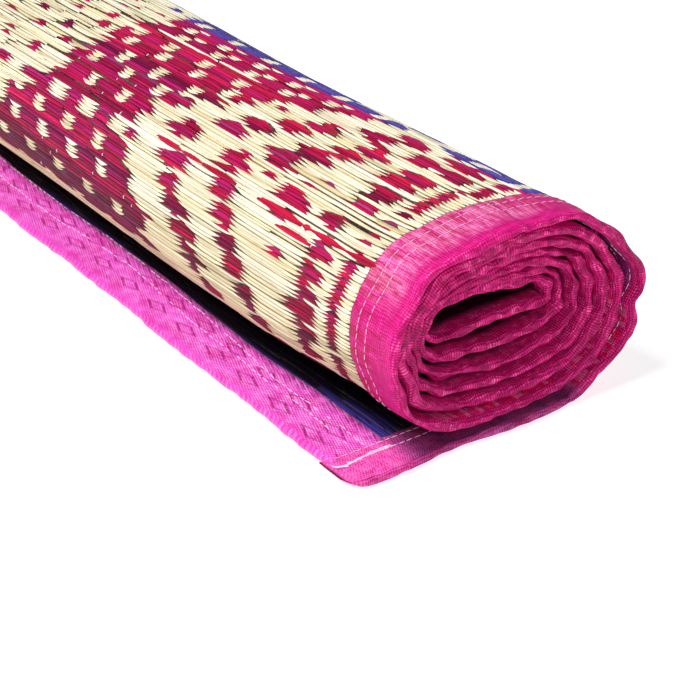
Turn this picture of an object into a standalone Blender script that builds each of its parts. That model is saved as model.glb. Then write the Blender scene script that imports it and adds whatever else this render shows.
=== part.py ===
"""Korai grass mat, rolled up, with its outer end lying loose beside the roll.

Metres, +Z up. The roll lies along Y and its loose end lies on the surface towards -X. The mat is a
woven sheet of split grass. A cloth tape is folded over each side edge and a wider band over each end.
Sizes below are in millimetres and are turned into metres where a vertex is placed.
"""
import bmesh
import bpy
from math import atan2, cos, exp, hypot, pi, radians, sin, sqrt

MM = 0.001

# The mat as it is made
MAT_WIDTH = 900.0  # between the two side edges, along the roll
GRASS_THICK = 2.4
CLOTH_THICK = 0.9  # one wall of a tape or band, with its turned-in edge
SEWN_GAP = 0.3  # between cloth and grass, and between tape and band
TAPE_WIDTH = 28.0
BAND_WIDTH = 28.0

# The roll as it lies
TURN_COUNT = 6.5  # from the inner end at the top of the core to the outer turn on the surface
STATIONS_PER_TURN = 18
SIDE_SHIFT = 3.3  # how far each turn is pushed along the roll past the turn outside it
END_ROUNDNESS = 0.35  # small for straight top and bottom runs, large for an ellipse
ROLL_CENTRE_X = 8.2
ROLL_CENTRE_Z = 51.5
CORE_CROWN = 4.0  # rise of the innermost lower turn into the hollow
CROWN_TURNS = 2.4  # turns over which that rise dies away
SAG_ANGLE = radians(32.0)  # where the upper side away from the loose end has sagged most
SAG_SPREAD = radians(24.0)
SAG_TURN = 0.1  # turns from the top to that place
BELLY_HEIGHT = 5.2  # how far the outer turn hangs out, low on the side of the loose end
BELLY_TURN = 5.64
BELLY_SPREAD = 0.075
BELLY_RUN = 80.0  # distance from the side tapes over which it grows
BELLY_AT_TAPE = 0.3  # share of it that is left at the side tapes
LUMP_HEIGHT = 1.1  # unevenness of the roll along its length
LUMP_LENGTHS = (410.0, 233.0)
LOOSE_REACH = 85.5  # from the roll's centre to the end of the loose grass
LOOSE_STATIONS = 4  # between the roll's resting line and the end band
BAND_STATIONS = 2
LOOSE_WAVE = 3.2  # how much the loose end wanders from straight
LOOSE_WAVE_LENGTHS = (MAT_WIDTH, 190.0)
FLOOR_DIP_RUN = 24.0  # length over which the grass comes down from its raised edges to the surface

# Distance in millimetres of the middle of the mat from the roll's centre, on each side of each turn,
# and the share of that distance lost where the turn has sagged most
TURNS = (
    {"turn": 1, "top": 7.5, "right": 31.0, "bottom": 9.0, "left": 38.0, "sag": 0.11},
    {"turn": 2, "top": 13.8, "right": 37.0, "bottom": 15.6, "left": 44.0, "sag": 0.1},
    {"turn": 3, "top": 20.0, "right": 42.5, "bottom": 22.2, "left": 50.0, "sag": 0.088},
    {"turn": 4, "top": 26.2, "right": 48.2, "bottom": 28.8, "left": 56.0, "sag": 0.086},
    {"turn": 5, "top": 32.5, "right": 54.0, "bottom": 35.4, "left": 62.0, "sag": 0.084},
    {"turn": 6, "top": 38.8, "right": 60.5, "bottom": 42.1, "left": 68.0, "sag": 0.086},
    {"turn": 7, "top": 45.2, "right": 70.5, "bottom": 53.0, "left": 75.0, "sag": 0.106},
)

# Rows of vertices along the mat, as distances from the edge of the grass
EDGE_ROWS = (0.0, 29.0, 29.0 + FLOOR_DIP_RUN)
MIDDLE_ROWS = 3
TAPE_OUTSIDE_POINTS = 6  # points of the tape's section on the side that shows

HALF_GRASS = 0.5 * GRASS_THICK
CLOTH_INNER = HALF_GRASS + SEWN_GAP
CLOTH_OUTER = CLOTH_INNER + CLOTH_THICK
FLAT_HEIGHT = CLOTH_OUTER  # middle of a bound edge that lies on the surface
FLOOR_DIP = CLOTH_OUTER - HALF_GRASS

GRASS_COLOUR = (0.86, 0.76, 0.48, 1.0)
TAPE_COLOUR = (0.80, 0.03, 0.30, 1.0)
BAND_COLOUR = (0.84, 0.06, 0.36, 1.0)


def blend(value):
    """Smooth step from 0 to 1."""
    value = min(max(value, 0.0), 1.0)
    return value * value * (3.0 - 2.0 * value)


def reach(first_side, second_side, turns):
    """Distance of the mat from the centre in one direction, between the sides that the table gives.

    The two sides follow each other by half a turn, and turns is counted from the first one.
    """
    stops = []
    for row in TURNS:
        stops.append(row[first_side])
        stops.append(row[second_side])
    place = min(max(2.0 * turns, 0.0), len(stops) - 1.001)
    before = int(place)
    share = place - before
    return stops[before] * (1.0 - share) + stops[before + 1] * share


def flattened_ring(angle, wide, high):
    """Point on an oval whose top and bottom run straighter than an ellipse's."""
    across = cos(angle)
    push = across * sqrt((1.0 + END_ROUNDNESS ** 2) / (across ** 2 + END_ROUNDNESS ** 2))
    return (wide - high) * push + high * across, high * sin(angle)


def sagged(across, up, turns):
    """Share of a point's distance from the centre that is left where the roll has sagged."""
    place = min(max(turns - SAG_TURN, 0.0), len(TURNS) - 1.001)
    before = int(place)
    share = place - before
    sag = TURNS[before]["sag"] * (1.0 - share) + TURNS[before + 1]["sag"] * share
    away = (atan2(up, across) - SAG_ANGLE) / SAG_SPREAD
    return 1.0 - sag * exp(-away * away)


def wound_point(turns):
    """Middle of the mat in the roll's cross-section, a number of turns from the inner end."""
    angle = 0.5 * pi - 2.0 * pi * turns
    wide = reach("right", "left", turns - 0.25)
    high = reach("top", "bottom", turns)
    across, up = flattened_ring(angle, wide, high)
    crown = CORE_CROWN * blend((CROWN_TURNS - turns) / CROWN_TURNS) * max(0.0, -sin(angle)) ** 3
    left = sagged(across, up + crown, turns)
    height = max(ROLL_CENTRE_Z + (up + crown) * left, FLAT_HEIGHT)
    return ROLL_CENTRE_X + across * left, height


def split_at(places, distance):
    """Add a place at a distance walked from the first one."""
    walked = 0.0
    for index in range(1, len(places)):
        before = places[index - 1]
        after = places[index]
        run = hypot(after[0] - before[0], after[1] - before[1])
        if walked + run > distance:
            share = (distance - walked) / run
            places.insert(index, tuple(a + (b - a) * share for a, b in zip(before, after)))
            return
        walked += run


def mat_path():
    """Stations along the middle of the mat, from the inner end to the end that lies loose.

    Each is a dictionary: its place (x, z), direction out of the roll (nx, nz), distance walked, how
    far its side edges are pushed along the roll, and how far it lies out on the surface.
    """
    wound = round(TURN_COUNT * STATIONS_PER_TURN)
    places = []
    for index in range(wound + 1):
        turns = TURN_COUNT * index / wound
        places.append((*wound_point(turns), SIDE_SHIFT * (TURN_COUNT - turns), 0.0))
    split_at(places, BAND_WIDTH)
    open_run = LOOSE_REACH - BAND_WIDTH
    for index in range(1, LOOSE_STATIONS + 1):
        out = open_run * index / LOOSE_STATIONS
        places.append((ROLL_CENTRE_X - out, FLAT_HEIGHT, 0.0, out))
    for index in range(1, BAND_STATIONS + 1):
        out = open_run + BAND_WIDTH * index / BAND_STATIONS
        places.append((ROLL_CENTRE_X - out, FLAT_HEIGHT, 0.0, out))
    stations = []
    walked = 0.0
    for index, (x, z, shift, out) in enumerate(places):
        before = places[max(index - 1, 0)]
        after = places[min(index + 1, len(places) - 1)]
        run_x = after[0] - before[0]
        run_z = after[1] - before[1]
        run = hypot(run_x, run_z)
        if index:
            walked += hypot(x - before[0], z - before[1])
        stations.append({"x": x, "z": z, "nx": -run_z / run, "nz": run_x / run, "walked": walked,
                         "shift": shift, "out": out})
    return stations


def sewn_place(along):
    """The same distance along the mat, held at the tape's inner edge where tape covers the grass."""
    held = TAPE_WIDTH + 1.0
    return min(max(along, held), MAT_WIDTH - held)


def lump(station, along):
    """How far the mat swells out from the roll's centre at one place, none where it rests."""
    height = (station["z"] - FLAT_HEIGHT) / ROLL_CENTRE_Z
    size = LUMP_HEIGHT * blend(1.4 * height)
    lean = station["x"] / ROLL_CENTRE_Z
    place = sewn_place(along)
    slow = sin(2.0 * pi * place / LUMP_LENGTHS[0] + 1.3 * lean)
    quick = sin(2.0 * pi * place / LUMP_LENGTHS[1] + 0.8 - 2.1 * lean)
    away = (TURN_COUNT - station["shift"] / SIDE_SHIFT - BELLY_TURN) / BELLY_SPREAD
    inwards = min(place, MAT_WIDTH - place) - TAPE_WIDTH
    belly = BELLY_HEIGHT * (BELLY_AT_TAPE + (1.0 - BELLY_AT_TAPE) * blend(inwards / BELLY_RUN))
    return size * (0.65 * slow + 0.35 * quick) + belly * exp(-away * away)


def loose_wander(along):
    """How far the loose end's edge strays from straight."""
    place = sewn_place(along)
    slow = -cos(2.0 * pi * place / LOOSE_WAVE_LENGTHS[0])
    quick = sin(2.0 * pi * place / LOOSE_WAVE_LENGTHS[1])
    return LOOSE_WAVE * (0.75 * slow + 0.25 * quick)


def vertex(station, along, lift, past_end=0.0):
    """A place on the mat in metres.

    along is the distance from the near edge of the grass, lift the distance outwards from the
    middle of the mat, and past_end the distance beyond the station along the path.
    """
    edge = min(along, MAT_WIDTH - along)
    dip = FLOOR_DIP * blend((edge - EDGE_ROWS[1]) / FLOOR_DIP_RUN)
    dip *= blend((LOOSE_REACH - station["out"] - BAND_WIDTH) / FLOOR_DIP_RUN)
    swell = lump(station, along)
    run_x = station["nz"]
    run_z = -station["nx"]
    radial = hypot(station["x"] - ROLL_CENTRE_X, station["z"] - ROLL_CENTRE_Z)
    out_x = (station["x"] - ROLL_CENTRE_X) / radial
    out_z = (station["z"] - ROLL_CENTRE_Z) / radial
    x = station["x"] + lift * station["nx"] + past_end * run_x + swell * out_x
    z = station["z"] + lift * station["nz"] + past_end * run_z + swell * out_z - dip
    x += loose_wander(along) * blend(station["out"] / (LOOSE_REACH - BAND_WIDTH))
    y = along + station["shift"] - 0.5 * (MAT_WIDTH + SIDE_SHIFT * TURN_COUNT)
    return x * MM, y * MM, z * MM


def grid_faces(mesh, rows):
    """Faces between neighbouring rows of vertices, each row an open line of the same length."""
    for row, following in zip(rows, rows[1:]):
        for place in range(len(row) - 1):
            mesh.faces.new((row[place], row[place + 1], following[place + 1], following[place]))


def tube_walls(mesh, rings):
    """Faces between neighbouring rings of vertices, each ring a closed line of the same length."""
    for ring, following in zip(rings, rings[1:]):
        count = len(ring)
        for place in range(count):
            turn_on = (place + 1) % count
            mesh.faces.new((ring[place], ring[turn_on], following[turn_on], following[place]))


def finish_solid(mesh, name, colour, roughness):
    """Make an object of a mesh, facing outwards, with its own material."""
    bmesh.ops.recalc_face_normals(mesh, faces=mesh.faces)
    if mesh.calc_volume(signed=True) < 0.0:
        bmesh.ops.reverse_faces(mesh, faces=mesh.faces)
    data = bpy.data.meshes.new(name)
    mesh.to_mesh(data)
    mesh.free()
    solid = bpy.data.objects.new(name, data)
    bpy.context.scene.collection.objects.link(solid)
    material = bpy.data.materials.new(name)
    material.use_nodes = True
    shader = material.node_tree.nodes["Principled BSDF"]
    shader.inputs["Base Color"].default_value = colour
    shader.inputs["Roughness"].default_value = roughness
    shader.inputs["Metallic"].default_value = 0.0
    data.materials.append(material)
    data.shade_smooth()
    data.set_sharp_from_angle(angle=0.6)
    return solid


def mat_rows():
    """Distances along the mat at which the grass sheet has a row of vertices."""
    near = list(EDGE_ROWS)
    far = [MAT_WIDTH - row for row in reversed(near)]
    step = (far[0] - near[-1]) / (MIDDLE_ROWS + 1)
    middle = [near[-1] + step * (index + 1) for index in range(MIDDLE_ROWS)]
    return near + middle + far


def make_grass(stations):
    """The woven sheet: an upper and a lower face on the path, joined round its edges."""
    mesh = bmesh.new()
    rings = []
    rows = mat_rows()
    for station in stations:
        outer = [mesh.verts.new(vertex(station, along, HALF_GRASS)) for along in rows]
        inner = [mesh.verts.new(vertex(station, along, -HALF_GRASS)) for along in rows]
        rings.append(outer + inner[::-1])
    tube_walls(mesh, rings)
    count = len(rows)
    for ring in (rings[0], rings[-1]):
        grid_faces(mesh, (ring[:count], ring[:count - 1:-1]))
    return finish_solid(mesh, "grass_mat", GRASS_COLOUR, 0.6)


def tape_profile():
    """Folded tape in section: distance in from the grass edge, and lift from the mat's middle."""
    outer = CLOTH_OUTER
    inner = CLOTH_INNER
    nose = SEWN_GAP + CLOTH_THICK
    return ((TAPE_WIDTH, outer), (0.0, outer), (-nose, 0.45 * outer), (-nose, -0.45 * outer),
            (0.0, -outer), (TAPE_WIDTH, -outer), (TAPE_WIDTH, -inner), (-SEWN_GAP, -inner),
            (-SEWN_GAP, inner), (TAPE_WIDTH, inner))


def close_corner(mesh, ring, outside):
    """Close the end of a folded tape over a corner of the mat.

    ring is the tape's whole section and outside the part of it that shows, moved on past the end.
    """
    for place in range(len(outside) - 1):
        mesh.faces.new((ring[place], ring[place + 1], outside[place + 1], outside[place]))
    mesh.faces.new(outside)
    mesh.faces.new(ring[len(outside):])
    mesh.faces.new((ring[0], outside[0], outside[-1], *ring[len(outside) - 1:len(outside) + 1], ring[-1]))


def make_side_tape(stations, name, far_side):
    """The tape folded over a side edge, following every turn and closing over the mat's corners."""
    mesh = bmesh.new()

    def ring_at(station, past_end, profile):
        """Vertices of a section at one station."""
        ring = []
        for inwards, lift in profile:
            along = MAT_WIDTH - inwards if far_side else inwards
            ring.append(mesh.verts.new(vertex(station, along, lift, past_end)))
        return ring

    profile = tape_profile()
    past_ends = [0.0] * len(stations)
    past_ends[0] = -SEWN_GAP
    past_ends[-1] = SEWN_GAP
    rings = [ring_at(station, past, profile) for station, past in zip(stations, past_ends)]
    tube_walls(mesh, rings)
    shown = profile[:TAPE_OUTSIDE_POINTS]
    past_all = SEWN_GAP + CLOTH_THICK
    close_corner(mesh, rings[0], ring_at(stations[0], -past_all, shown))
    close_corner(mesh, rings[-1], ring_at(stations[-1], past_all, shown))
    return finish_solid(mesh, name, TAPE_COLOUR, 0.5)


def make_end_band(stations, name):
    """The band folded over an end of the mat, between the two side tapes.

    stations run from the end of the grass inwards.
    """
    first = stations[0]["walked"]
    side = -1.0 if stations[1]["walked"] > first else 1.0
    covered = []
    for station in stations:
        covered.append(station)
        if abs(station["walked"] - first) > BAND_WIDTH - SEWN_GAP:
            break
    tip = side * (SEWN_GAP + CLOTH_THICK)
    section = [(station, CLOTH_OUTER, 0.0) for station in reversed(covered)]
    section += [(stations[0], 0.45 * CLOTH_OUTER, tip), (stations[0], -0.45 * CLOTH_OUTER, tip)]
    section += [(station, -CLOTH_OUTER, 0.0) for station in covered]
    section += [(station, -CLOTH_INNER, 0.0) for station in reversed(covered)]
    section[-1] = (stations[0], -CLOTH_INNER, side * SEWN_GAP)
    section += [(stations[0], CLOTH_INNER, side * SEWN_GAP)]
    section += [(station, CLOTH_INNER, 0.0) for station in covered[1:]]
    mesh = bmesh.new()
    rings = []
    margin = TAPE_WIDTH + SEWN_GAP
    rows = [margin] + mat_rows()[1:-1] + [MAT_WIDTH - margin]
    for along in rows:
        ring = [mesh.verts.new(vertex(station, along, lift, past)) for station, lift, past in section]
        rings.append(ring)
    tube_walls(mesh, rings)
    mesh.faces.new(rings[0])
    mesh.faces.new(rings[-1])
    return finish_solid(mesh, name, BAND_COLOUR, 0.45)


def clear_scene():
    """Remove whatever the scene holds."""
    for thing in list(bpy.data.objects):
        bpy.data.objects.remove(thing, do_unlink=True)


def main():
    """Build the mat and everything sewn to it."""
    clear_scene()
    stations = mat_path()
    make_grass(stations)
    make_side_tape(stations, "side_binding_near", far_side=False)
    make_side_tape(stations, "side_binding_far", far_side=True)
    make_end_band(stations[::-1], "end_band_outer")
    make_end_band(stations, "end_band_inner")


main()
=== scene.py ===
"""Looks of a rolled korai grass mat: woven split grass, pink side tapes and satin end bands.

Sizes are in millimetres until a piece is put in its place, and in metres from there on. The mat is
first described flat. A flat place is (along, walked, lift): along is the distance from the near side
edge of the grass, walked the distance from the mat's inner end, and lift the height over the middle
of the sheet on the face that looks out of the roll. RollShape carries flat places into the roll.
"""
import logging
from dataclasses import dataclass, field, replace
from enum import Enum
from math import cos, pi, radians, sin, sqrt
from typing import Any, Callable, Iterator

import bmesh
import bpy
import numpy as np
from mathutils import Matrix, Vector

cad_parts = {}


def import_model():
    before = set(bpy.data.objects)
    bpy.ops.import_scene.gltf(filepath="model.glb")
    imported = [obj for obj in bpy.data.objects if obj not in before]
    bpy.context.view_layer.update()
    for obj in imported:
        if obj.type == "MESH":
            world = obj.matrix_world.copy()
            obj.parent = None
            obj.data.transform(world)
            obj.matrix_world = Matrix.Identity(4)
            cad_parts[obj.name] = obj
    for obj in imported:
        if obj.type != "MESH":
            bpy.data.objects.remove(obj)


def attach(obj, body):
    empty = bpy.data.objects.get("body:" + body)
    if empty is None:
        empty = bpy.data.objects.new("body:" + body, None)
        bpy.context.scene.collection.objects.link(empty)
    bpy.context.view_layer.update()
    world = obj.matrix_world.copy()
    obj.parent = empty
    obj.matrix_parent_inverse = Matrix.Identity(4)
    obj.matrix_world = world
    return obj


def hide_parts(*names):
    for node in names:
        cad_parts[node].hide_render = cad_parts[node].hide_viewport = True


LOG = logging.getLogger("korai_mat")
MM = 0.001
BODY = "root"
BAKE_MAP = "OFBake"
Pair = tuple[float, float]
Triple = tuple[float, float, float]
Numbers = tuple[float, ...]
Colour = Triple
Shades = tuple[Colour, Colour]
Array = np.ndarray
Piece = bpy.types.Object
Node = bpy.types.Node


def smooth_step(value: Array | float) -> Array:
    """Smooth step from 0 to 1."""
    held = np.clip(value, 0.0, 1.0)
    return held * held * (3.0 - 2.0 * held)


class Wander:
    """A smooth unevenness over a surface: a few slow waves with directions drawn from a seed."""

    def __init__(self, seed: int, wavelength: float, waves: int = 7) -> None:
        """Draw the waves.

        Args:
            seed: Seed of the draw.
            wavelength: Middle length of the waves, in the units of the places given later.
            waves: How many waves are added up.
        """
        draw = np.random.default_rng(seed)
        angle = draw.uniform(0.0, 2.0 * pi, waves)
        size = 2.0 * pi / (wavelength * draw.uniform(0.6, 1.7, waves))
        self.first = size * np.cos(angle)
        self.second = size * np.sin(angle)
        self.phase = draw.uniform(0.0, 2.0 * pi, waves)
        self.scale = sqrt(2.0 / waves)

    def at(self, first: Array | float, second: Array | float) -> Array:
        """Unevenness at places of a surface.

        Args:
            first: First coordinate of each place.
            second: Second coordinate of each place.

        Returns:
            Values of about -1 to 1, one for each place.
        """
        first, second = np.broadcast_arrays(np.asarray(first, float), np.asarray(second, float))
        total = np.zeros(first.shape)
        for a, b, phase in zip(self.first, self.second, self.phase):
            total += np.sin(a * first + b * second + phase)
        return total * self.scale


@dataclass(frozen=True)
class MatSizes:
    """Sizes of the mat and of the roll that it lies in, in millimetres."""

    width: float = 900.0
    turn_count: float = 6.5
    side_shift: float = 3.3
    end_roundness: float = 0.35
    centre_x: float = 8.2
    centre_z: float = 51.5
    core_crown: float = 4.0
    crown_turns: float = 2.4
    belly_height: float = 5.2
    belly_turn: float = 5.64
    belly_spread: float = 0.075
    belly_run: float = 80.0
    belly_at_tape: float = 0.3
    ripple_height: float = 0.55
    ripple_reach: float = 60.0
    core_height: float = 1.3
    core_reach: float = 90.0
    core_turns: float = 0.3
    lump_height: float = 1.1
    lump_lengths: Pair = (410.0, 233.0)
    loose_reach: float = 85.5
    band_width: float = 28.0
    tape_width: float = 28.0
    loose_wave: float = 3.2
    loose_wave_length: float = 190.0
    flat_height: float = 2.4
    floor_dip: float = 1.2
    dip_start: float = 29.0
    dip_run: float = 24.0
    corner_radius: float = 9.0
    corner_fade: float = 34.0
    corner_out: float = 3.6
    # distance of the sheet's middle from the roll's centre, from the innermost turn outwards
    tops: Numbers = (7.5, 13.8, 20.0, 26.2, 32.5, 38.8, 45.2)
    rights: Numbers = (31.0, 37.0, 42.5, 48.2, 54.0, 60.5, 70.5)
    bottoms: Numbers = (9.0, 15.6, 22.2, 28.8, 35.4, 42.1, 53.0)
    lefts: Numbers = (38.0, 44.0, 50.0, 56.0, 62.0, 68.0, 75.0)
    # share of its distance from the centre by which each turn sags on the side away from the loose end
    sags: Numbers = (0.11, 0.10, 0.088, 0.086, 0.084, 0.086, 0.106)
    sag_angle: float = 32.0
    sag_spread: float = 24.0
    sag_turn: float = 0.1


@dataclass(frozen=True)
class Dent:
    """A swelling or dent of the sheet near the near end of the roll, in turns and millimetres."""

    turns: float
    half_width: float
    height: float
    reach: float = 70.0

    def at(self, turns: Array) -> Array:
        """How far it lifts the sheet at numbers of turns, before it fades along the roll."""
        away = (turns - self.turns) / self.half_width
        return self.height * np.exp(-away * away)


class RollShape:
    """Where every flat place of the mat lies in the roll."""

    SAMPLES = 4200
    CORE_DENT = Dent(0.52, 0.16, -1.2)
    DENTS = (
        Dent(6.250, 0.020, 0.9),
        Dent(6.284, 0.018, -3.6),
        Dent(6.330, 0.020, 1.0),
        Dent(6.395, 0.030, -2.4),
    )

    def __init__(self, sizes: MatSizes) -> None:
        """Work out the mat's path through the roll.

        Args:
            sizes: Sizes of the mat and the roll.
        """
        self.sizes = sizes
        self.width = sizes.width
        turns = np.linspace(0.0, sizes.turn_count, self.SAMPLES)
        x, z = self._wound(turns)
        out = np.arange(0.4, sizes.loose_reach + 0.01, 0.4)
        self.turns = np.concatenate([turns, np.full(len(out), sizes.turn_count)])
        self.x = np.concatenate([x, sizes.centre_x - out])
        self.z = np.concatenate([z, np.full(len(out), sizes.flat_height)])
        self.out = np.concatenate([np.zeros(len(turns)), out])
        self.shift = sizes.side_shift * (sizes.turn_count - self.turns)
        steps = np.hypot(np.diff(self.x), np.diff(self.z))
        self.walked = np.concatenate([[0.0], np.cumsum(steps)])
        run_x = np.gradient(self.x, self.walked)
        run_z = np.gradient(self.z, self.walked)
        size = np.hypot(run_x, run_z)
        self.normal_x = -run_z / size
        self.normal_z = run_x / size
        self.length = float(self.walked[-1])
        self.ripple = Wander(11, 0.085)

    def _reach(self, first: Numbers, second: Numbers, turns: Array) -> Array:
        """Distance from the centre between the stops of two opposite sides, half a turn apart."""
        stops = np.array([value for pair in zip(first, second) for value in pair])
        return np.interp(np.clip(2.0 * turns, 0.0, len(stops) - 1.001), np.arange(len(stops)), stops)

    def _wound(self, turns: Array) -> tuple[Array, Array]:
        """Middle of the sheet in the roll's cross-section.

        Args:
            turns: Numbers of turns from the inner end.

        Returns:
            The places across and up, in millimetres.
        """
        sizes = self.sizes
        angle = 0.5 * pi - 2.0 * pi * turns
        wide = self._reach(sizes.rights, sizes.lefts, turns - 0.25)
        high = self._reach(sizes.tops, sizes.bottoms, turns)
        across = np.cos(angle)
        soft = sizes.end_roundness ** 2
        push = across * np.sqrt((1.0 + soft) / (across ** 2 + soft))
        crown = smooth_step((sizes.crown_turns - turns) / sizes.crown_turns)
        crown = sizes.core_crown * crown * np.maximum(0.0, -np.sin(angle)) ** 3
        out = (wide - high) * push + high * across
        rise = high * np.sin(angle) + crown
        sag = np.interp(turns - sizes.sag_turn, np.arange(len(sizes.sags)), sizes.sags)
        away = (np.degrees(np.arctan2(rise, out)) - sizes.sag_angle) / sizes.sag_spread
        left = 1.0 - sag * np.exp(-away * away)
        return sizes.centre_x + out * left, np.maximum(sizes.centre_z + rise * left, sizes.flat_height)

    def walked_at(self, turns: float) -> float:
        """Distance from the inner end to a number of turns."""
        return float(np.interp(turns, self.turns[:self.SAMPLES], self.walked[:self.SAMPLES]))

    def turns_at(self, walked: Array | float) -> Array:
        """Number of turns at distances from the inner end."""
        return np.interp(walked, self.walked, self.turns)

    def _between_tapes(self, along: Array) -> Array:
        """Distances from the near edge, held at the inner edges of the side tapes."""
        margin = self.sizes.tape_width + 1.0
        return np.clip(along, margin, self.sizes.width - margin)

    def _swell(self, along: Array, turns: Array, x: Array, z: Array) -> Array:
        """How far the sheet stands out from its plain path.

        Args:
            along: Distances from the near edge.
            turns: Numbers of turns from the inner end.
            x: Places across, on the plain path.
            z: Places up, on the plain path.

        Returns:
            The distances outwards from the roll's centre.
        """
        sizes = self.sizes
        raised = smooth_step(1.4 * (z - sizes.flat_height) / sizes.centre_z)
        lean = x / sizes.centre_z
        held = self._between_tapes(along)
        slow = np.sin(2.0 * pi * held / sizes.lump_lengths[0] + 1.3 * lean)
        quick = np.sin(2.0 * pi * held / sizes.lump_lengths[1] + 0.8 - 2.1 * lean)
        swell = sizes.lump_height * raised * (0.65 * slow + 0.35 * quick)
        away = (turns - sizes.belly_turn) / sizes.belly_spread
        inwards = np.minimum(held, sizes.width - held) - sizes.tape_width
        share = sizes.belly_at_tape + (1.0 - sizes.belly_at_tape) * smooth_step(inwards / sizes.belly_run)
        swell = swell + sizes.belly_height * share * np.exp(-away * away)
        edge = np.minimum(along, sizes.width - along)
        ripple = sizes.ripple_height * self.ripple.at(turns % 1.0, turns * 0.02)
        swell = swell + ripple * raised * smooth_step(1.0 - edge / sizes.ripple_reach)
        inside = np.maximum(along, 0.0)
        core = smooth_step(1.0 - turns / sizes.core_turns) + self.CORE_DENT.at(turns)
        core = core * smooth_step(1.0 - inside / sizes.core_reach) * (turns < 1.0)
        swell = swell + sizes.core_height * core
        for dent in self.DENTS:
            swell = swell + dent.at(turns) * smooth_step(1.0 - inside / dent.reach)
        return swell

    def place(self, along: Array, walked: Array, lift: Array) -> Array:
        """Carry flat places into the roll.

        Args:
            along: Distances from the near edge of the grass.
            walked: Distances from the inner end.
            lift: Heights over the sheet's middle, outwards.

        Returns:
            An array of places in metres, one row of three numbers for each.
        """
        sizes = self.sizes
        along, walked, lift = (np.asarray(values, float).ravel()
                               for values in np.broadcast_arrays(along, walked, lift))
        past = walked - np.clip(walked, 0.0, self.length)
        x, z, normal_x, normal_z, turns, out, shift = (
            np.interp(walked, self.walked, values) for values in
            (self.x, self.z, self.normal_x, self.normal_z, self.turns, self.out, self.shift))
        edge = np.minimum(along, sizes.width - along)
        dip = sizes.floor_dip * smooth_step((edge - sizes.dip_start) / sizes.dip_run)
        dip = dip * smooth_step((sizes.loose_reach - out - sizes.band_width) / sizes.dip_run)
        swell = self._swell(along, turns, x, z)
        radial = np.maximum(np.hypot(x - sizes.centre_x, z - sizes.centre_z), 1.0)
        swell_x = swell * (x - sizes.centre_x) / radial
        swell_z = swell * (z - sizes.centre_z) / radial
        held = self._between_tapes(along)
        slow = -np.cos(2.0 * pi * held / sizes.width)
        quick = np.sin(2.0 * pi * held / sizes.loose_wave_length)
        wander = sizes.loose_wave * (0.75 * slow + 0.25 * quick)
        wander = wander * smooth_step(out / (sizes.loose_reach - sizes.band_width))
        to_end = np.clip(self.length + sizes.corner_out - walked, 0.0, sizes.corner_radius)
        radius = sizes.corner_radius
        pull = radius - np.sqrt(radius ** 2 - (radius - to_end) ** 2)
        pull = pull * smooth_step(1.0 - edge / sizes.corner_fade)
        along = along + np.where(along < 0.5 * sizes.width, pull, -pull)
        places = np.empty((len(along), 3))
        places[:, 0] = x + lift * normal_x + past * normal_z + swell_x + wander
        places[:, 1] = along + shift - 0.5 * (sizes.width + sizes.side_shift * sizes.turn_count)
        places[:, 2] = np.maximum(z + lift * normal_z - past * normal_x + swell_z - dip, 0.05)
        return places * MM


def node_maths(operation: str, meaning: str, turned: bool = False) -> Callable[..., "Channel"]:
    """Method of Channel that adds one Math node.

    Args:
        operation: What the node does.
        meaning: What the method gives, as its docstring.
        turned: Whether the other number comes first.

    Returns:
        The method.
    """
    def method(self: "Channel", *others: "Channel | float") -> "Channel":
        """Add the node."""
        values = (*others, self) if turned else (self, *others)
        node = self.graph.node("ShaderNodeMath", dict(enumerate(values)), operation=operation)
        return Channel(self.graph, node.outputs[0])

    method.__doc__ = meaning
    return method


@dataclass(frozen=True, eq=False)
class Channel:
    """A number carried by a socket, so that node maths reads as plain arithmetic."""

    graph: "Graph"
    socket: bpy.types.NodeSocket

    __add__ = __radd__ = node_maths("ADD", "Sum.")
    __mul__ = __rmul__ = node_maths("MULTIPLY", "Product.")
    __sub__ = node_maths("SUBTRACT", "Difference.")
    __rsub__ = node_maths("SUBTRACT", "Difference, taken from a number.", turned=True)
    __truediv__ = node_maths("DIVIDE", "Quotient.")
    __pow__ = node_maths("POWER", "Power.")
    __abs__ = node_maths("ABSOLUTE", "Size without its sign.")
    __mod__ = node_maths("FLOORED_MODULO", "Remainder that is never negative.")
    __gt__ = node_maths("GREATER_THAN", "1 where it is larger, 0 elsewhere.")
    sine = node_maths("SINE", "Sine of the number.")
    floor = node_maths("FLOOR", "Whole number below.")
    least = node_maths("MINIMUM", "Smaller of two numbers.")
    most = node_maths("MAXIMUM", "Larger of two numbers.")

    def waves(self, pitch: float) -> "Channel":
        """Even waves from 0 to 1 along a distance."""
        return (self * (2.0 * pi / pitch)).sine() * 0.5 + 0.5

    def within(self, rise: Pair, fall: Pair) -> "Channel":
        """Stretch that comes in over one pair of numbers and goes out over another."""
        return self.step(*rise) * (1.0 - self.step(*fall))

    def step(self, low: float, high: float) -> "Channel":
        """Smooth step from 0 at low to 1 at high."""
        inputs = {"Value": self, "From Min": low, "From Max": high}
        node = self.graph.node("ShaderNodeMapRange", inputs, interpolation_type="SMOOTHSTEP")
        return Channel(self.graph, node.outputs[0])


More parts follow.
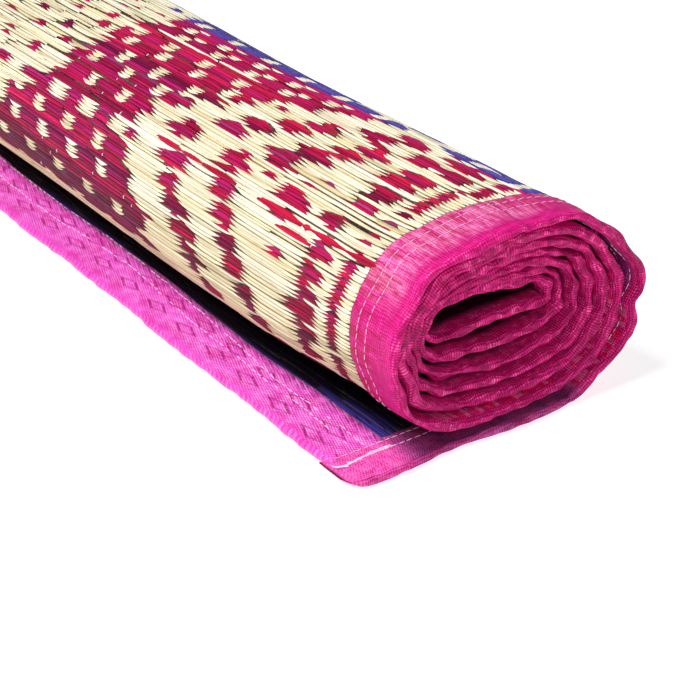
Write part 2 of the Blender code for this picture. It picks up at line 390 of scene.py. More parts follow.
class Graph:
    """A node tree under construction, for a finish or for small pieces that repeat."""

    def __init__(self, tree: bpy.types.NodeTree) -> None:
        """Start with an empty tree."""
        self.tree = tree
        tree.nodes.clear()

    def node(self, kind: str, inputs: dict[Any, Any] | None = None, **settings: Any) -> Node:
        """Add a node.

        Args:
            kind: Type of the node.
            inputs: Values, sockets or channels by socket name or number.
            settings: Its settings, which are set before its sockets.

        Returns:
            The new node.
        """
        node = self.tree.nodes.new(kind)
        for name, value in settings.items():
            setattr(node, name, value)
        for name, value in (inputs or {}).items():
            self.feed(node.inputs[name], value)
        return node

    def feed(self, socket: bpy.types.NodeSocket, value: Any) -> None:
        """Link or set a socket.

        Args:
            socket: The input.
            value: A channel, node or socket to link, or a plain value.
        """
        if isinstance(value, Channel):
            value = value.socket
        if isinstance(value, Node):
            value = value.outputs[0]
        if isinstance(value, bpy.types.NodeSocket):
            self.tree.links.new(value, socket)
        elif isinstance(value, tuple) and len(value) == 3 and socket.type == "RGBA":
            socket.default_value = (*value, 1.0)
        else:
            socket.default_value = value

    def mix(self, share: Channel | float, first: Any, second: Any) -> Any:
        """Colour between two colours, at a share of the second."""
        inputs = {0: share, 6: first, 7: second}
        return self.node("ShaderNodeMix", inputs, data_type="RGBA").outputs[2]

    def scaled(self, colour: Any, by: Channel) -> Any:
        """Colour made brighter or darker."""
        inputs = {"Vector": colour, "Scale": by}
        return self.node("ShaderNodeVectorMath", inputs, operation="SCALE")

    def split(self, vector: Any) -> tuple[Channel, Channel, Channel]:
        """Three numbers of a vector."""
        node = self.node("ShaderNodeSeparateXYZ", {0: vector})
        return tuple(Channel(self, node.outputs[axis]) for axis in range(3))

    def joined(self, x: Any, y: Any, z: Any = 0.0) -> Any:
        """Vector made of three numbers."""
        return self.node("ShaderNodeCombineXYZ", {0: x, 1: y, 2: z})

    def noise(self, place: tuple[Any, ...], detail: float = 2.0, roughness: float = 0.5) -> Channel:
        """Soft noise round 0.5, with grains about one unit of the place wide."""
        inputs = {"Vector": self.joined(*place), "Scale": 1.0, "Detail": detail, "Roughness": roughness}
        return Channel(self, self.node("ShaderNodeTexNoise", inputs).outputs["Fac"])

    def dice(self, first: Any, second: Any = 0.0) -> Channel:
        """Even random number for each whole pair of numbers."""
        inputs = {"Vector": self.joined(first, second)}
        node = self.node("ShaderNodeTexWhiteNoise", inputs, noise_dimensions="3D")
        return Channel(self, node.outputs["Value"])

    def carried(self, name: str, output: str = "Vector") -> Any:
        """Socket of a value carried by the piece's own mesh."""
        return self.node("ShaderNodeAttribute", attribute_name=name).outputs[output]

    def object_place(self) -> tuple[Channel, Channel, Channel]:
        """Place on the piece in millimetres."""
        place = self.node("ShaderNodeTexCoord").outputs["Object"]
        return tuple(axis * (1.0 / MM) for axis in self.split(place))


@dataclass(frozen=True)
class Coat:
    """What a finish feeds its shader; the depth of its relief is in millimetres."""

    colour: Any
    roughness: Channel
    relief: Channel | None = None
    depth: float = 0.0
    constants: dict[str, Any] = field(default_factory=dict)


class Finish:
    """Base of the finishes: makes a material from the coat that each finish lays."""

    name: str

    def material(self) -> bpy.types.Material:
        """Material with this finish, made once."""
        found = bpy.data.materials.get(self.name)
        if found is not None:
            return found
        material = bpy.data.materials.new(self.name)
        material.use_nodes = True
        graph = Graph(material.node_tree)
        coat = self.lay(graph)
        inputs = {"Base Color": coat.colour, "Roughness": coat.roughness, **coat.constants}
        if coat.relief is not None:
            relief = {"Height": coat.relief, "Strength": 1.0, "Distance": coat.depth * MM}
            inputs["Normal"] = graph.node("ShaderNodeBump", relief)
        shader = graph.node("ShaderNodeBsdfPrincipled", inputs)
        graph.node("ShaderNodeOutputMaterial", {"Surface": shader})
        return material

    def lay(self, graph: Graph) -> Coat:
        """Lay the finish; each finish has its own way."""
        raise NotImplementedError


class Dye(Enum):
    """Colour families of the split grass."""

    NATURAL = "natural"
    CRIMSON = "crimson"
    INDIGO = "indigo"


@dataclass(frozen=True)
class Shade:
    """One shade of a dye bath, and how often a strand comes out in it."""

    colour: Colour
    weight: float


SHADES: dict[Dye, tuple[Shade, ...]] = {
    Dye.NATURAL: (
        Shade((0.93, 0.86, 0.64), 5.0),
        Shade((0.95, 0.90, 0.71), 4.0),
        Shade((0.89, 0.80, 0.55), 2.0),
        Shade((0.84, 0.71, 0.45), 0.3),
    ),
    Dye.CRIMSON: (
        Shade((0.42, 0.004, 0.055), 4.0),
        Shade((0.46, 0.008, 0.115), 3.0),
        Shade((0.58, 0.008, 0.060), 1.5),
        Shade((0.17, 0.003, 0.036), 2.2),
        Shade((0.34, 0.030, 0.140), 1.0),
    ),
    Dye.INDIGO: (
        Shade((0.070, 0.045, 0.36), 4.0),
        Shade((0.100, 0.060, 0.36), 3.0),
        Shade((0.045, 0.032, 0.25), 2.0),
    ),
}


@dataclass(frozen=True)
class StrandFinish(Finish):
    """Split grass: waxy skin with fine lengthwise fibres, darker along its rolled-in edges."""

    name: str
    edge: Colour
    fibre_contrast: float
    fibre_stain: float
    gloss: float
    shine: float
    painted_highlight: float = 0.0
    rose: Colour = (0.98, 0.60, 0.70)

    def lay(self, graph: Graph) -> Coat:
        """Lay fibres, a crease, stained edges and drying marks.

        Args:
            graph: Graph of the finish.

        Returns:
            The coat.
        """
        x, y, z = graph.object_place()
        tint = graph.carried("tint", "Color")
        run, across, _ = graph.split(graph.carried("local"))
        fibre = graph.noise((x * 2.0, y * 0.035, z * 2.0), 2.0, 0.6)
        broad = graph.noise((x * 0.9, y * 0.03, z * 0.9), 1.0)
        marks = graph.noise((x * 0.5, y * 0.16, z * 0.5), 3.0)
        streak = (fibre - 0.5) * self.fibre_contrast + (broad - 0.5) * 0.35 + 1.0
        # pale streaks along the fibres: painted highlight, in the rose colour
        pale = (1.0 - fibre).step(0.56, 0.74) * self.painted_highlight
        bright = graph.mix(0.14, graph.scaled(tint, fibre * 0.6 + 1.6), self.rose)
        colour = graph.mix(pale, graph.scaled(tint, streak), bright)
        groove = (graph.noise((x * 0.45, y * 0.012, z * 0.45), 1.0) - 0.5) * 3.2
        crease = 1.0 - abs(across - groove).step(0.05, 0.38)
        # darker edges: the grass's own tan edges, deepened with painted shade where neighbouring strands
        # meet
        edge_share = abs(across).step(0.60, 0.94) * 0.85
        edge_share = edge_share + (fibre.step(0.54, 0.70) + crease) * self.fibre_stain
        tip_share = abs(run).step(0.88, 1.0) * 0.35
        colour = graph.mix(edge_share.most(tip_share).least(0.9), colour, self.edge)
        colour = graph.mix(marks.step(0.62, 0.78) * 0.22, colour, self.edge)
        roughness = (fibre * 0.30 + (self.gloss - 0.12)).least(0.9)
        relief = fibre * 0.8 + broad * 0.4
        return Coat(colour, roughness, relief, 0.16, {"Specular IOR Level": self.shine})


STRAND_FINISHES: dict[str, StrandFinish] = {
    "natural": StrandFinish("natural_split_grass", (0.38, 0.26, 0.09), 0.40, 0.50, 0.42, 0.30),
    "crimson": StrandFinish("crimson_split_grass", (0.085, 0.002, 0.016), 1.25, 0.50, 0.40, 0.12, 0.35),
    "indigo": StrandFinish("indigo_split_grass", (0.018, 0.014, 0.10), 1.0, 0.40, 0.34, 0.30),
    "loose_end": StrandFinish("shaded_split_grass", (0.002, 0.001, 0.006), 1.0, 0.40, 0.34, 0.12),
}


@dataclass(frozen=True)
class SheetFinish(Finish):
    """The ground of the weave, seen in the slits between strands and on the mat's reverse."""

    name = "woven_ground"
    pitch: float = 2.5
    warp_pitch: float = 7.95
    reds: Shades = ((0.30, 0.01, 0.03), (0.10, 0.01, 0.02))
    blues: Shades = ((0.05, 0.035, 0.32), (0.02, 0.015, 0.14))
    straws: Shades = ((0.44, 0.29, 0.12), (0.72, 0.56, 0.30))

    def lay(self, graph: Graph) -> Coat:
        """Lay strands, warp ties and dye zones.

        Args:
            graph: Graph of the finish.

        Returns:
            The coat.
        """
        along, walked, face = graph.split(graph.carried("flat"))
        wavy = graph.noise((along * 0.02, walked * 0.05), 2.0) * 1.6
        row = (walked + wavy) / self.pitch
        strand = row.floor()
        warp = along / self.warp_pitch + strand * 0.5
        tie = abs(warp % 1.0 - 0.5)
        dyed = graph.dice(strand, (warp * 0.5).floor()).step(0.46, 0.54)
        body = ((row % 1.0) * pi).sine()
        fibre = graph.noise((along * 0.06, walked * 5.0, face), 2.0, 0.6)
        red = graph.mix(graph.dice(strand, 7.0), *self.reds)
        blue = graph.mix(graph.dice(strand, 9.0), *self.blues)
        zone = abs((walked - 60.0) % 560.0 - 240.0).step(138.0, 142.0)
        colour = graph.mix(dyed, graph.mix(fibre, *self.straws), graph.mix(zone, red, blue))
        # painted shade: the rows darker at their edges and at the ties, and the whole ground darkened,
        # most on the reverse, as it lies in shade under the strands and inside the roll
        shade = body ** 0.6 * 0.75 + fibre * 0.25 + 0.12
        colour = graph.scaled(colour, shade * (tie.step(0.02, 0.10) * 0.5 + 0.5))
        colour = graph.scaled(colour, face.step(-0.5, 0.5) * 0.15 + 0.03)
        return Coat(colour, fibre * 0.3 + 0.45, body * tie.step(0.0, 0.25) + fibre * 0.2, 0.8)


@dataclass(frozen=True)
class TapeFinish(Finish):
    """Thin pink cotton tape, so sheer that the strands under it show as ribs and dull stripes."""

    name = "sheer_pink_tape"
    shown_from: float
    loose_from: float
    ends_at: float
    # place on the outer side where the light falls, which gets painted sheen
    sheen_place: Pair
    mat_width: float
    thread: float = 1.25
    row: float = 2.2
    # where the painted shade of the inner turns starts inwards from the edge, and how fast it deepens
    deep_from: float = 3.0
    deep_run: float = 8.0
    # dark and light threads of the cloth by where they lie
    pinks: Shades = ((0.56, 0.001, 0.13), (0.94, 0.020, 0.34))
    # darker pinks of the folds and the inner side, partly the folded cloth and partly painted shade
    rims: Shades = ((0.20, 0.001, 0.050), (0.82, 0.014, 0.24))
    blocks: Shades = ((0.62, 0.002, 0.065), (0.98, 0.012, 0.17))
    roses: Shades = ((0.70, 0.02, 0.26), (0.98, 0.30, 0.64))
    plums: Shades = ((0.09, 0.004, 0.09), (0.42, 0.05, 0.36))
    # paler pinks of the loose end: bluer with the indigo grass beneath, and paler with painted sheen
    tails: Shades = ((0.62, 0.003, 0.20), (0.96, 0.16, 0.62))
    patches: Shades = ((0.16, 0.004, 0.13), (0.62, 0.14, 0.55))
    dark_strand: Colour = (0.52, 0.002, 0.055)
    # pale strands showing through, with painted sheen where the light falls
    pale_strand_and_sheen: Colour = (0.98, 0.48, 0.84)
    glint: Colour = (1.0, 0.42, 0.74)
    cloud: Colour = (0.98, 0.30, 0.76)
    # dark end of the tape, where its two layers close: painted shade of the slit between them
    fold: Colour = (0.40, 0.002, 0.06)

    def _outer_stripes(self, graph: Graph, walked: Channel, across: Channel) -> tuple[Channel, Channel]:
        """How much of a dark and of a pale strand shows through the outer side.

        Args:
            graph: Graph of the finish.
            walked: Distance walked.
            across: Distance from the fold.

        Returns:
            The two shares.
        """
        drift = graph.noise((walked * 0.03, across * 0.05, 2.0), 2.0)
        row = ((walked + drift * 3.0) / self.row).floor()
        length = graph.dice(row, 5.0) * 14.0 + 9.0
        patch = graph.noise((walked * 0.030, across * 0.015, 9.0), 1.0)
        dark = (graph.dice(row) + patch * 0.7).step(0.70, 0.80) * (across - length).step(-4.0, 4.0)
        # pale stripes only where the light falls: pale strands showing through, with painted sheen
        first, last = self.sheen_place
        shown = walked.within((first - 8.0, first + 10.0), (last - 16.0, last + 10.0))
        block = graph.noise((walked * 0.42, across * 0.07, 3.0), 2.0)
        pale = shown * across.step(4.0, 11.0) * (block.step(0.36, 0.62) * 0.75 + 0.18)
        return dark, pale

    def _inner_stripes(self, graph: Graph, walked: Channel, across: Channel) -> tuple[Channel, Channel]:
        """How much red shows through the inner side, and where a paler thread lies beside it.

        Args:
            graph: Graph of the finish.
            walked: Distance walked.
            across: Distance from the fold.

        Returns:
            The two shares.
        """
        row = (walked / (self.row * 1.1)).floor()
        patch = graph.noise((walked * 0.035, 4.0), 2.0)
        shown = across.step(1.6, 2.6)
        red = (graph.dice(row, 11.0) * 0.6 + patch).step(0.58, 0.74) * shown
        return red, graph.dice(row, 3.0).step(0.55, 0.60) * shown

    def _loose_end(self, graph: Graph, colour: Any, walked: Channel, along: Channel, light: Channel,
                   inside: Channel) -> tuple[Any, Channel]:
        """Lay the tape of the loose end, pale and cloudy, dark where the roll rests over it.

        Args:
            graph: Graph of the finish.
            colour: Colour of the tape so far.
            walked: Distance walked.
            along: Distance along the roll.
            light: How light the cloth is.
            inside: 1 on the side that looks into the roll.

        Returns:
            The colour, and how much of each place lies in the roll's shadow.
        """
        tail_side = inside * walked.step(self.loose_from, self.loose_from + 12.0)
        cloud = graph.noise((walked * 0.10, along * 0.20, 12.0), 3.0, 0.6).step(0.36, 0.66)
        # paler loose end: painted sheen where it faces the light, bluer with the indigo grass beneath
        tail = graph.mix(cloud * 0.16, graph.mix(light, *self.tails), self.cloud)
        colour = graph.mix(tail_side, colour, tail)
        shadowed = tail_side * (1.0 - walked.step(self.ends_at - 38.0, self.ends_at - 22.0))
        patch = graph.noise((walked * 0.07, 15.0), 1.0).step(0.42, 0.56) * shadowed
        return graph.mix(patch * 0.65, colour, graph.mix(light, *self.patches)), shadowed

    def lay(self, graph: Graph) -> Coat:
        """Lay threads, ribs and what shows through.

        Args:
            graph: Graph of the finish.

        Returns:
            The coat.
        """
        along, walked, around = graph.split(graph.carried("flat"))
        across = abs(around)
        inside = around.step(0.5, -0.5)
        outside = 1.0 - inside
        over_grass = across.step(1.5, 5.0)
        loose = walked.step(self.loose_from, self.loose_from + 12.0)
        slack = graph.noise((walked * 0.16, along * 0.16, inside * 9.0), 2.0)
        moire = graph.noise((walked * 0.26, along * 0.40, inside * 5.0 + 6.0), 3.0)
        warp = (walked + slack * 3.0 + along * loose * 0.5).waves(self.thread)
        weft = (along + slack * 2.4).waves(self.thread)
        weave = warp * 0.42 + weft * 0.38 + (moire - 0.5) + 0.10
        patchy = graph.noise((walked * 0.11, along * 0.13, inside * 3.0 + 2.0), 2.0)
        light = (weave.step(0.12, 0.88) - 0.5) * (patchy * 1.5 + 0.15) + patchy * 0.5 + 0.25
        drift = graph.noise((walked * 0.05, across * 0.10), 2.0)
        rib = (walked + drift * 2.2).waves(self.row) ** 0.7
        first, last = self.sheen_place
        lit = walked.within((first - 60.0, first - 10.0), (last + 10.0, last + 45.0))
        # rims and inner side darker, partly the folded cloth and partly painted shade, which is eased
        # where the light falls
        rim_share = ((1.0 - over_grass) * (0.7 - lit * 0.65) + inside * 0.8).least(1.0)
        colour = graph.mix(rim_share, graph.mix(light, *self.pinks), graph.mix(light, *self.rims))
        dark, pale = self._outer_stripes(graph, walked, across)
        colour = graph.mix(dark * outside * 0.70, colour, self.dark_strand)
        colour = graph.mix(pale * outside * (light * 0.50 + 0.12), colour, self.pale_strand_and_sheen)
        red, rosy = self._inner_stripes(graph, walked, across)
        late = walked.step(self.shown_from - 260.0, self.shown_from - 120.0) * 0.80 + 0.15
        block = graph.mix(rosy * 0.6, graph.mix(light, *self.blocks), graph.mix(light, *self.roses))
        colour = graph.mix(red * inside * late, colour, block)
        resting = self.loose_from
        plum = walked.within((resting - 120.0, resting - 95.0), (resting - 60.0, resting - 25.0))
        plum = plum * inside * over_grass * graph.noise((walked * 0.07, 8.0), 1.0).step(0.3, 0.5)
        colour = graph.mix(plum * 0.8, colour, graph.mix(light, *self.plums))
        colour = graph.mix(weave.step(0.80, 1.0) * (0.22 + inside * 0.38), colour, self.glint)
        colour, shadowed = self._loose_end(graph, colour, walked, along, light, inside)
        # painted shade of the slit between the tape's two layers at its end
        folded = walked.step(self.ends_at + 2.4, self.ends_at + 3.2)
        colour = graph.mix(folded * 0.6, colour, self.fold)
        # painted shade: the roll's shadow on the loose end, the inner turns darkened inwards from the
        # edge, and the outer side over the grass darker away from the painted sheen
        depth = along.least(self.mat_width - along).step(self.deep_from, self.deep_from + self.deep_run)
        hidden = walked.step(self.shown_from + 20.0, self.shown_from)
        shade = (1.0 - shadowed * 0.68) * (1.0 - depth * hidden * 0.97)
        shade = shade * (1.0 - outside * over_grass * (1.0 - pale.least(1.0)) * 0.22)
        colour = graph.scaled(colour, shade * (rib * 0.10 * over_grass + 0.94))
        relief = rib * over_grass * 0.35 + weave * 0.55 + slack * 0.9
        return Coat(colour, weave * 0.12 + 0.38, relief, 0.45, {"Specular IOR Level": 0.14})


@dataclass(frozen=True)
class BandFinish(Finish):
    """Pink satin with small woven diamonds in two rows."""

    name = "diamond_satin"
    spacing: float = 28.5
    rows: Pair = (10.5, 20.0)
    half_long: float = 8.6
    half_wide: float = 3.1
    line: float = 0.16
    corner_run: float = 150.0
    corner_shift: float = 6.5
    thread: float = 1.25
    cross_thread: float = 1.5625
    rib: float = 2.3
    ply_slope: float = 0.36
    fields: Shades = ((0.66, 0.028, 0.40), (0.78, 0.095, 0.62))
    pale: Colour = (0.98, 0.56, 0.92)
    deep: Colour = (0.46, 0.006, 0.24)
    # deeper pink along the fold
    fold_pink: Colour = (0.76, 0.035, 0.44)
    figure: Colour = (0.38, 0.003, 0.16)
    gap: Colour = (0.24, 0.003, 0.15)

    def _diamonds(self, graph: Graph, along: Channel, across: Channel, row: int) -> Channel:
        """Outlines of one row of diamonds.

        Args:
            graph: Graph of the finish.
            along: Distance along the band.
            across: Distance from the band's outer edge.
            row: Number of the row.

        Returns:
            1 on the outlines, 0 elsewhere.
        """
        cell = (along + 3.0 * row) % self.spacing - 0.5 * self.spacing
        high = across - self.rows[row] + (1.0 - along.step(0.0, self.corner_run)) * self.corner_shift
        ring = abs(cell) / self.half_long + abs(high) / self.half_wide
        near_line = 1.0 - abs(ring - 1.0).step(0.7 * self.line, 1.9 * self.line)
        bold = (cell * high).step(0.5, -0.5) * 0.40 + 0.60
        broken = graph.dice((along * 0.9).floor(), (across * 0.9).floor()).step(0.05, 0.35) * 0.5 + 0.5
        return near_line * bold * broken

    def lay(self, graph: Graph) -> Coat:
        """Lay twill, diamonds, puckers and a worn fold.

        Args:
            graph: Graph of the finish.

        Returns:
            The coat.
        """
        along, _, across = graph.split(graph.carried("flat"))
        slack = graph.noise((along * 0.06, across * 0.12), 3.0, 0.55)
        blotch = graph.noise((along * 0.16, across * 0.22, 7.0), 3.0, 0.6)
        stretch = graph.noise((along * 0.35, across * 0.08, 4.0), 2.0)
        slant = across - along * self.ply_slope
        twill = (slant + slack * 2.0).waves(self.thread)
        cross = (along + across * 0.5 + blotch * 1.5).waves(self.cross_thread)
        streak = graph.noise((along * 0.14, slant * 0.95, 2.0), 3.0, 0.6)
        mesh = twill * 0.42 + cross * 0.34 + (blotch - 0.5) + (streak - 0.5) * 0.40 + 0.12
        colour = graph.mix(slack.step(0.34, 0.60), *self.fields)
        near = 1.0 - along.step(50.0, 190.0)
        # pale glints on the raised threads, stronger near the corner: painted highlight
        colour = graph.mix(mesh.step(0.46, 0.98) * (near * 0.25 + 0.50), colour, self.pale)
        colour = graph.mix((1.0 - mesh).step(0.50, 1.0) * 0.75, colour, self.deep)
        # deeper pink within 5 mm of the fold
        colour = graph.mix((1.0 - across.step(0.5, 5.0)) * 0.45, colour, self.fold_pink)
        figure = self._diamonds(graph, along, across, 0).most(self._diamonds(graph, along, across, 1))
        colour = graph.mix(figure * 0.95, colour, self.figure)
        ribbed = (slant + slack * 2.4).waves(self.rib) * across.step(19.5, 26.0)
        ribbed = ribbed * graph.noise((along * 0.13, 6.0), 2.0).step(0.38, 0.60)
        colour = graph.mix(ribbed * 0.85, colour, self.gap)
        relief = slack * 1.2 + stretch * 0.35 + mesh * 0.18 - figure * 0.25 - ribbed * 0.5
        constants = {"Specular IOR Level": 0.40, "Sheen Weight": 0.06, "Sheen Roughness": 0.30}
        return Coat(colour, twill * 0.12 + stretch * 0.15 + 0.26, relief, 0.55, constants)


@dataclass(frozen=True)
class ThreadFinish(Finish):
    """Two-ply sewing or warp cotton."""

    name: str
    light: Colour
    dark: Colour

    def lay(self, graph: Graph) -> Coat:
        """Lay the twist of the thread and a little grime.

        Args:
            graph: Graph of the finish.

        Returns:
            The coat.
        """
        x, y, z = graph.object_place()
        twist = ((x + y + z) * 9.0).sine() * 0.5 + 0.5
        grime = graph.noise((x * 0.35, y * 0.35, z * 0.35), 2.0)
        share = (twist * 0.5 + grime.step(0.45, 0.7) * 0.5).least(1.0)
        return Coat(graph.mix(share, self.light, self.dark), twist * 0.15 + 0.55, twist, 0.06)


@dataclass(frozen=True)
class FloorFinish(Finish):
    """Pale matt studio floor."""

    name = "studio_floor"
    paints: Shades = ((0.56, 0.56, 0.56), (0.58, 0.58, 0.58))

    def lay(self, graph: Graph) -> Coat:
        """Lay a plain pale paint with a faint unevenness."""
        x, y, _ = graph.object_place()
        haze = graph.noise((x * 0.004, y * 0.004), 1.0)
        glow = {"Emission Color": (1.0, 1.0, 1.0), "Emission Strength": 0.70}
        return Coat(graph.mix(haze, *self.paints), haze * 0.05 + 0.7, constants=glow)


@dataclass
class FlatMesh:
    """A closed thin mesh in flat places, made of rings.

    Each ring runs along the outer skin and comes back along the inner one. The bake map holds the
    mesh as a few lanes, one above the other, so that it isn't squeezed.
    """

    stations: Array
    skin: Array
    along: Array
    walked: Array
    lift: Array
    across: Array
    lanes: int = 1
    outer_share: float = 0.78

    END_CELL = ((0.990, 0.99), (0.995, 0.99), (0.995, 0.995), (0.990, 0.995))

    def _faces(self) -> tuple[list[tuple[int, ...]], list[Pair]]:
        """Faces, and two numbers of the bake map for each of their corners."""
        count = len(self.skin)
        ring = 2 * count
        front = 0.01 + self.outer_share * self.skin
        back = 0.03 + self.outer_share + (0.94 - self.outer_share) * self.skin
        low = np.concatenate([front, back])
        high = np.concatenate([front[1:], front[-1:] + 0.01, back[1:], back[-1:] + 0.01])
        lane_length = self.stations[-1] / self.lanes
        faces, corners = [], []
        for station in range(len(self.stations) - 1):
            lane = min(int(self.stations[station] / lane_length), self.lanes - 1)
            left, right = (self.stations[station:station + 2] / lane_length - lane) * 0.98 + 0.005
            start, ahead = station * ring, (station + 1) * ring
            for place in range(ring):
                turn_on = (place + 1) % ring
                faces.append((start + place, start + turn_on, ahead + turn_on, ahead + place))
                bottom, top = (lane + low[place]) / self.lanes, (lane + high[place]) / self.lanes
                corners += [(left, bottom), (left, top), (right, top), (right, bottom)]
        for start in (0, (len(self.stations) - 1) * ring):
            for place in range(count - 1):
                faces.append((start + place, start + place + 1,
                              start + ring - 2 - place, start + ring - 1 - place))
                corners += self.END_CELL
        return faces, corners

    def build(self, name: str, roll: RollShape, finish: Finish) -> Piece:
        """Make the piece, in its place in the roll.

        Args:
            name: Name of the piece.
            roll: Shape of the roll.
            finish: Finish of the piece.

        Returns:
            The new object.
        """
        faces, corners = self._faces()
        data = bpy.data.meshes.new(name)
        data.from_pydata(roll.place(self.along, self.walked, self.lift), [], faces)
        flat = data.attributes.new("flat", "FLOAT_VECTOR", "POINT")
        flat.data.foreach_set("vector", np.stack([self.along, self.walked, self.across], 2).ravel())
        bake = data.uv_layers.new(name=BAKE_MAP)
        bake.data.foreach_set("uv", np.array(corners, float).ravel())
        data.materials.append(finish.material())
        data.shade_smooth()
        piece = linked(name, data)
        face_outwards(piece)
        return piece


def linked(name: str, data: bpy.types.ID) -> Piece:
    """New object in the scene."""
    piece = bpy.data.objects.new(name, data)
    bpy.context.scene.collection.objects.link(piece)
    return piece


def face_outwards(piece: Piece) -> None:
    """Turn the faces of a closed piece outwards."""
    mesh = bmesh.new()
    mesh.from_mesh(piece.data)
    bmesh.ops.recalc_face_normals(mesh, faces=mesh.faces)
    if mesh.calc_volume(signed=True) < 0.0:
        bmesh.ops.reverse_faces(mesh, faces=mesh.faces)
    mesh.to_mesh(piece.data)
    mesh.free()


def dress(piece: Piece, slot: str) -> Piece:
    """Let a finished piece ride with the mat and take its slot.

    Args:
        piece: The piece.
        slot: The material slot it stands for.

    Returns:
        The same piece.
    """
    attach(piece, BODY)
    LOG.info("%s: %d faces", piece.name, len(piece.data.polygons))
    return piece


@dataclass
class GrassSheet:
    """The woven sheet itself, on which the strands that show are laid."""

    roll: RollShape
    half_thick: float = 0.85
    station_gap: float = 2.4
    row_count: int = 26

    def _rows(self) -> Array:
        """Distances along the mat at which the sheet has a row of places."""
        width = self.roll.width
        edge = np.array([2.2, 3.2, 5.0, 10.0, 18.0, 29.0, 41.0, 53.0])
        middle = np.linspace(53.0, width - 53.0, self.row_count)[1:-1]
        return np.concatenate([edge, middle, width - edge[::-1]])

    def build(self) -> Piece:
        """Make the sheet as one closed thin mesh.

        Returns:
            The finished piece.
        """
        roll = self.roll
        rows = self._rows()
        stations = np.linspace(0.0, roll.length, round(roll.length / self.station_gap))
        shape = (len(stations), 2 * len(rows))
        along = np.broadcast_to(np.concatenate([rows, rows[::-1]]), shape)
        walked = np.broadcast_to(stations[:, None], shape)
        side = np.broadcast_to(np.repeat((1.0, -1.0), len(rows)), shape)
        edge = np.minimum(along, roll.width - along)
        lift = side * self.half_thick * (0.35 + 0.65 * smooth_step((edge - 2.0) / 1.5))
        skin = (rows - rows[0]) / (rows[-1] - rows[0])
        mesh = FlatMesh(stations, skin, along, walked, lift, side, outer_share=0.47)
        piece = mesh.build("grass_sheet", roll, SheetFinish())
        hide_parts("grass_mat")
        dress(piece, "grass")
        return piece


class Seeds:
    """Points on which small shapes are laid, with what each of them carries."""

    FIELDS = {1: ("FLOAT", "value"), 3: ("FLOAT_VECTOR", "vector"), 4: ("FLOAT_COLOR", "color")}

    def __init__(self) -> None:
        """Start with none."""
        self.carried: dict[str, list[Any]] = {}

    def add(self, **carried: Any) -> None:
        """Add one seed; every seed carries its centre, and its size as half lengths."""
        for name, value in carried.items():
            self.carried.setdefault(name, []).append(value)

    def mesh(self, name: str) -> bpy.types.Mesh:
        """Make a mesh of loose points that carry their values and a number.

        Args:
            name: Name of the mesh.

        Returns:
            The new mesh.
        """
        data = bpy.data.meshes.new(name)
        count = len(self.carried["centre"])
        data.vertices.add(count)
        data.vertices.foreach_set("co", np.array(self.carried["centre"], float).ravel())
        for label, values in {**self.carried, "number": range(count)}.items():
            numbers = np.array(values, float)
            kind, part = self.FIELDS[numbers.size // count]
            data.attributes.new(label, kind, "POINT").data.foreach_set(part, numbers.ravel())
        return data


class SeedTree:
    """Base of the Geometry Nodes that lay one small shape on every seed."""

    label = "lay_shapes"
    input_name = "Size"
    input_kind = "NodeSocketFloat"

    def __init__(self) -> None:
        """Build the tree with its named inputs."""
        self.tree = bpy.data.node_groups.new(self.label, "GeometryNodeTree")
        face = self.tree.interface
        face.new_socket("Seeds", in_out="INPUT", socket_type="NodeSocketGeometry")
        self.own = face.new_socket(self.input_name, in_out="INPUT", socket_type=self.input_kind)
        self.finish = face.new_socket("Finish", in_out="INPUT", socket_type="NodeSocketMaterial")
        face.new_socket("Shapes", in_out="OUTPUT", socket_type="NodeSocketGeometry")
        graph = Graph(self.tree)
        given = graph.node("NodeGroupInput")
        shapes = self._shapes(graph, given)
        dressed = graph.node("GeometryNodeSetMaterial", {
            "Geometry": shapes, "Material": given.outputs["Finish"]})
        graph.node("NodeGroupOutput", {"Shapes": dressed})

    def _shapes(self, graph: Graph, given: Node) -> Any:
        """Real shapes on the seeds; each tree has its own."""
        raise NotImplementedError

    @staticmethod
    def laid(graph: Graph, given: Node, shape: Node, **inputs: Any) -> Node:
        """Real copies of one shape, one on each seed."""
        inputs = {"Points": given.outputs["Seeds"], "Instance": shape, **inputs}
        copies = graph.node("GeometryNodeInstanceOnPoints", inputs)
        return graph.node("GeometryNodeRealizeInstances", {"Geometry": copies})

    @staticmethod
    def named(graph: Graph, name: str, kind: str = "FLOAT_VECTOR") -> Any:
        """Socket of a value carried by the seeds."""
        node = graph.node("GeometryNodeInputNamedAttribute", {"Name": name}, data_type=kind)
        return node.outputs["Attribute"]

    def grow(self, name: str, seeds: Seeds, finish: Finish, own: float | int) -> Piece:
        """Make a plain mesh of shapes in flat places.

        Args:
            name: Name of the piece.
            seeds: Where the shapes lie.
            finish: Finish of the piece.
            own: Value of the tree's own input.

        Returns:
            The new object, still flat.
        """
        points = seeds.mesh(name + "_seeds")
        holder = linked(name + "_seeds", points)
        modifier = holder.modifiers.new(self.label, "NODES")
        modifier.node_group = self.tree
        modifier[self.own.identifier] = own
        modifier[self.finish.identifier] = finish.material()
        settled = holder.evaluated_get(bpy.context.evaluated_depsgraph_get())
        data = bpy.data.meshes.new_from_object(settled)
        data.name = name
        holder.modifiers.clear()
        bpy.data.objects.remove(holder)
        bpy.data.meshes.remove(points)
        return linked(name, data)


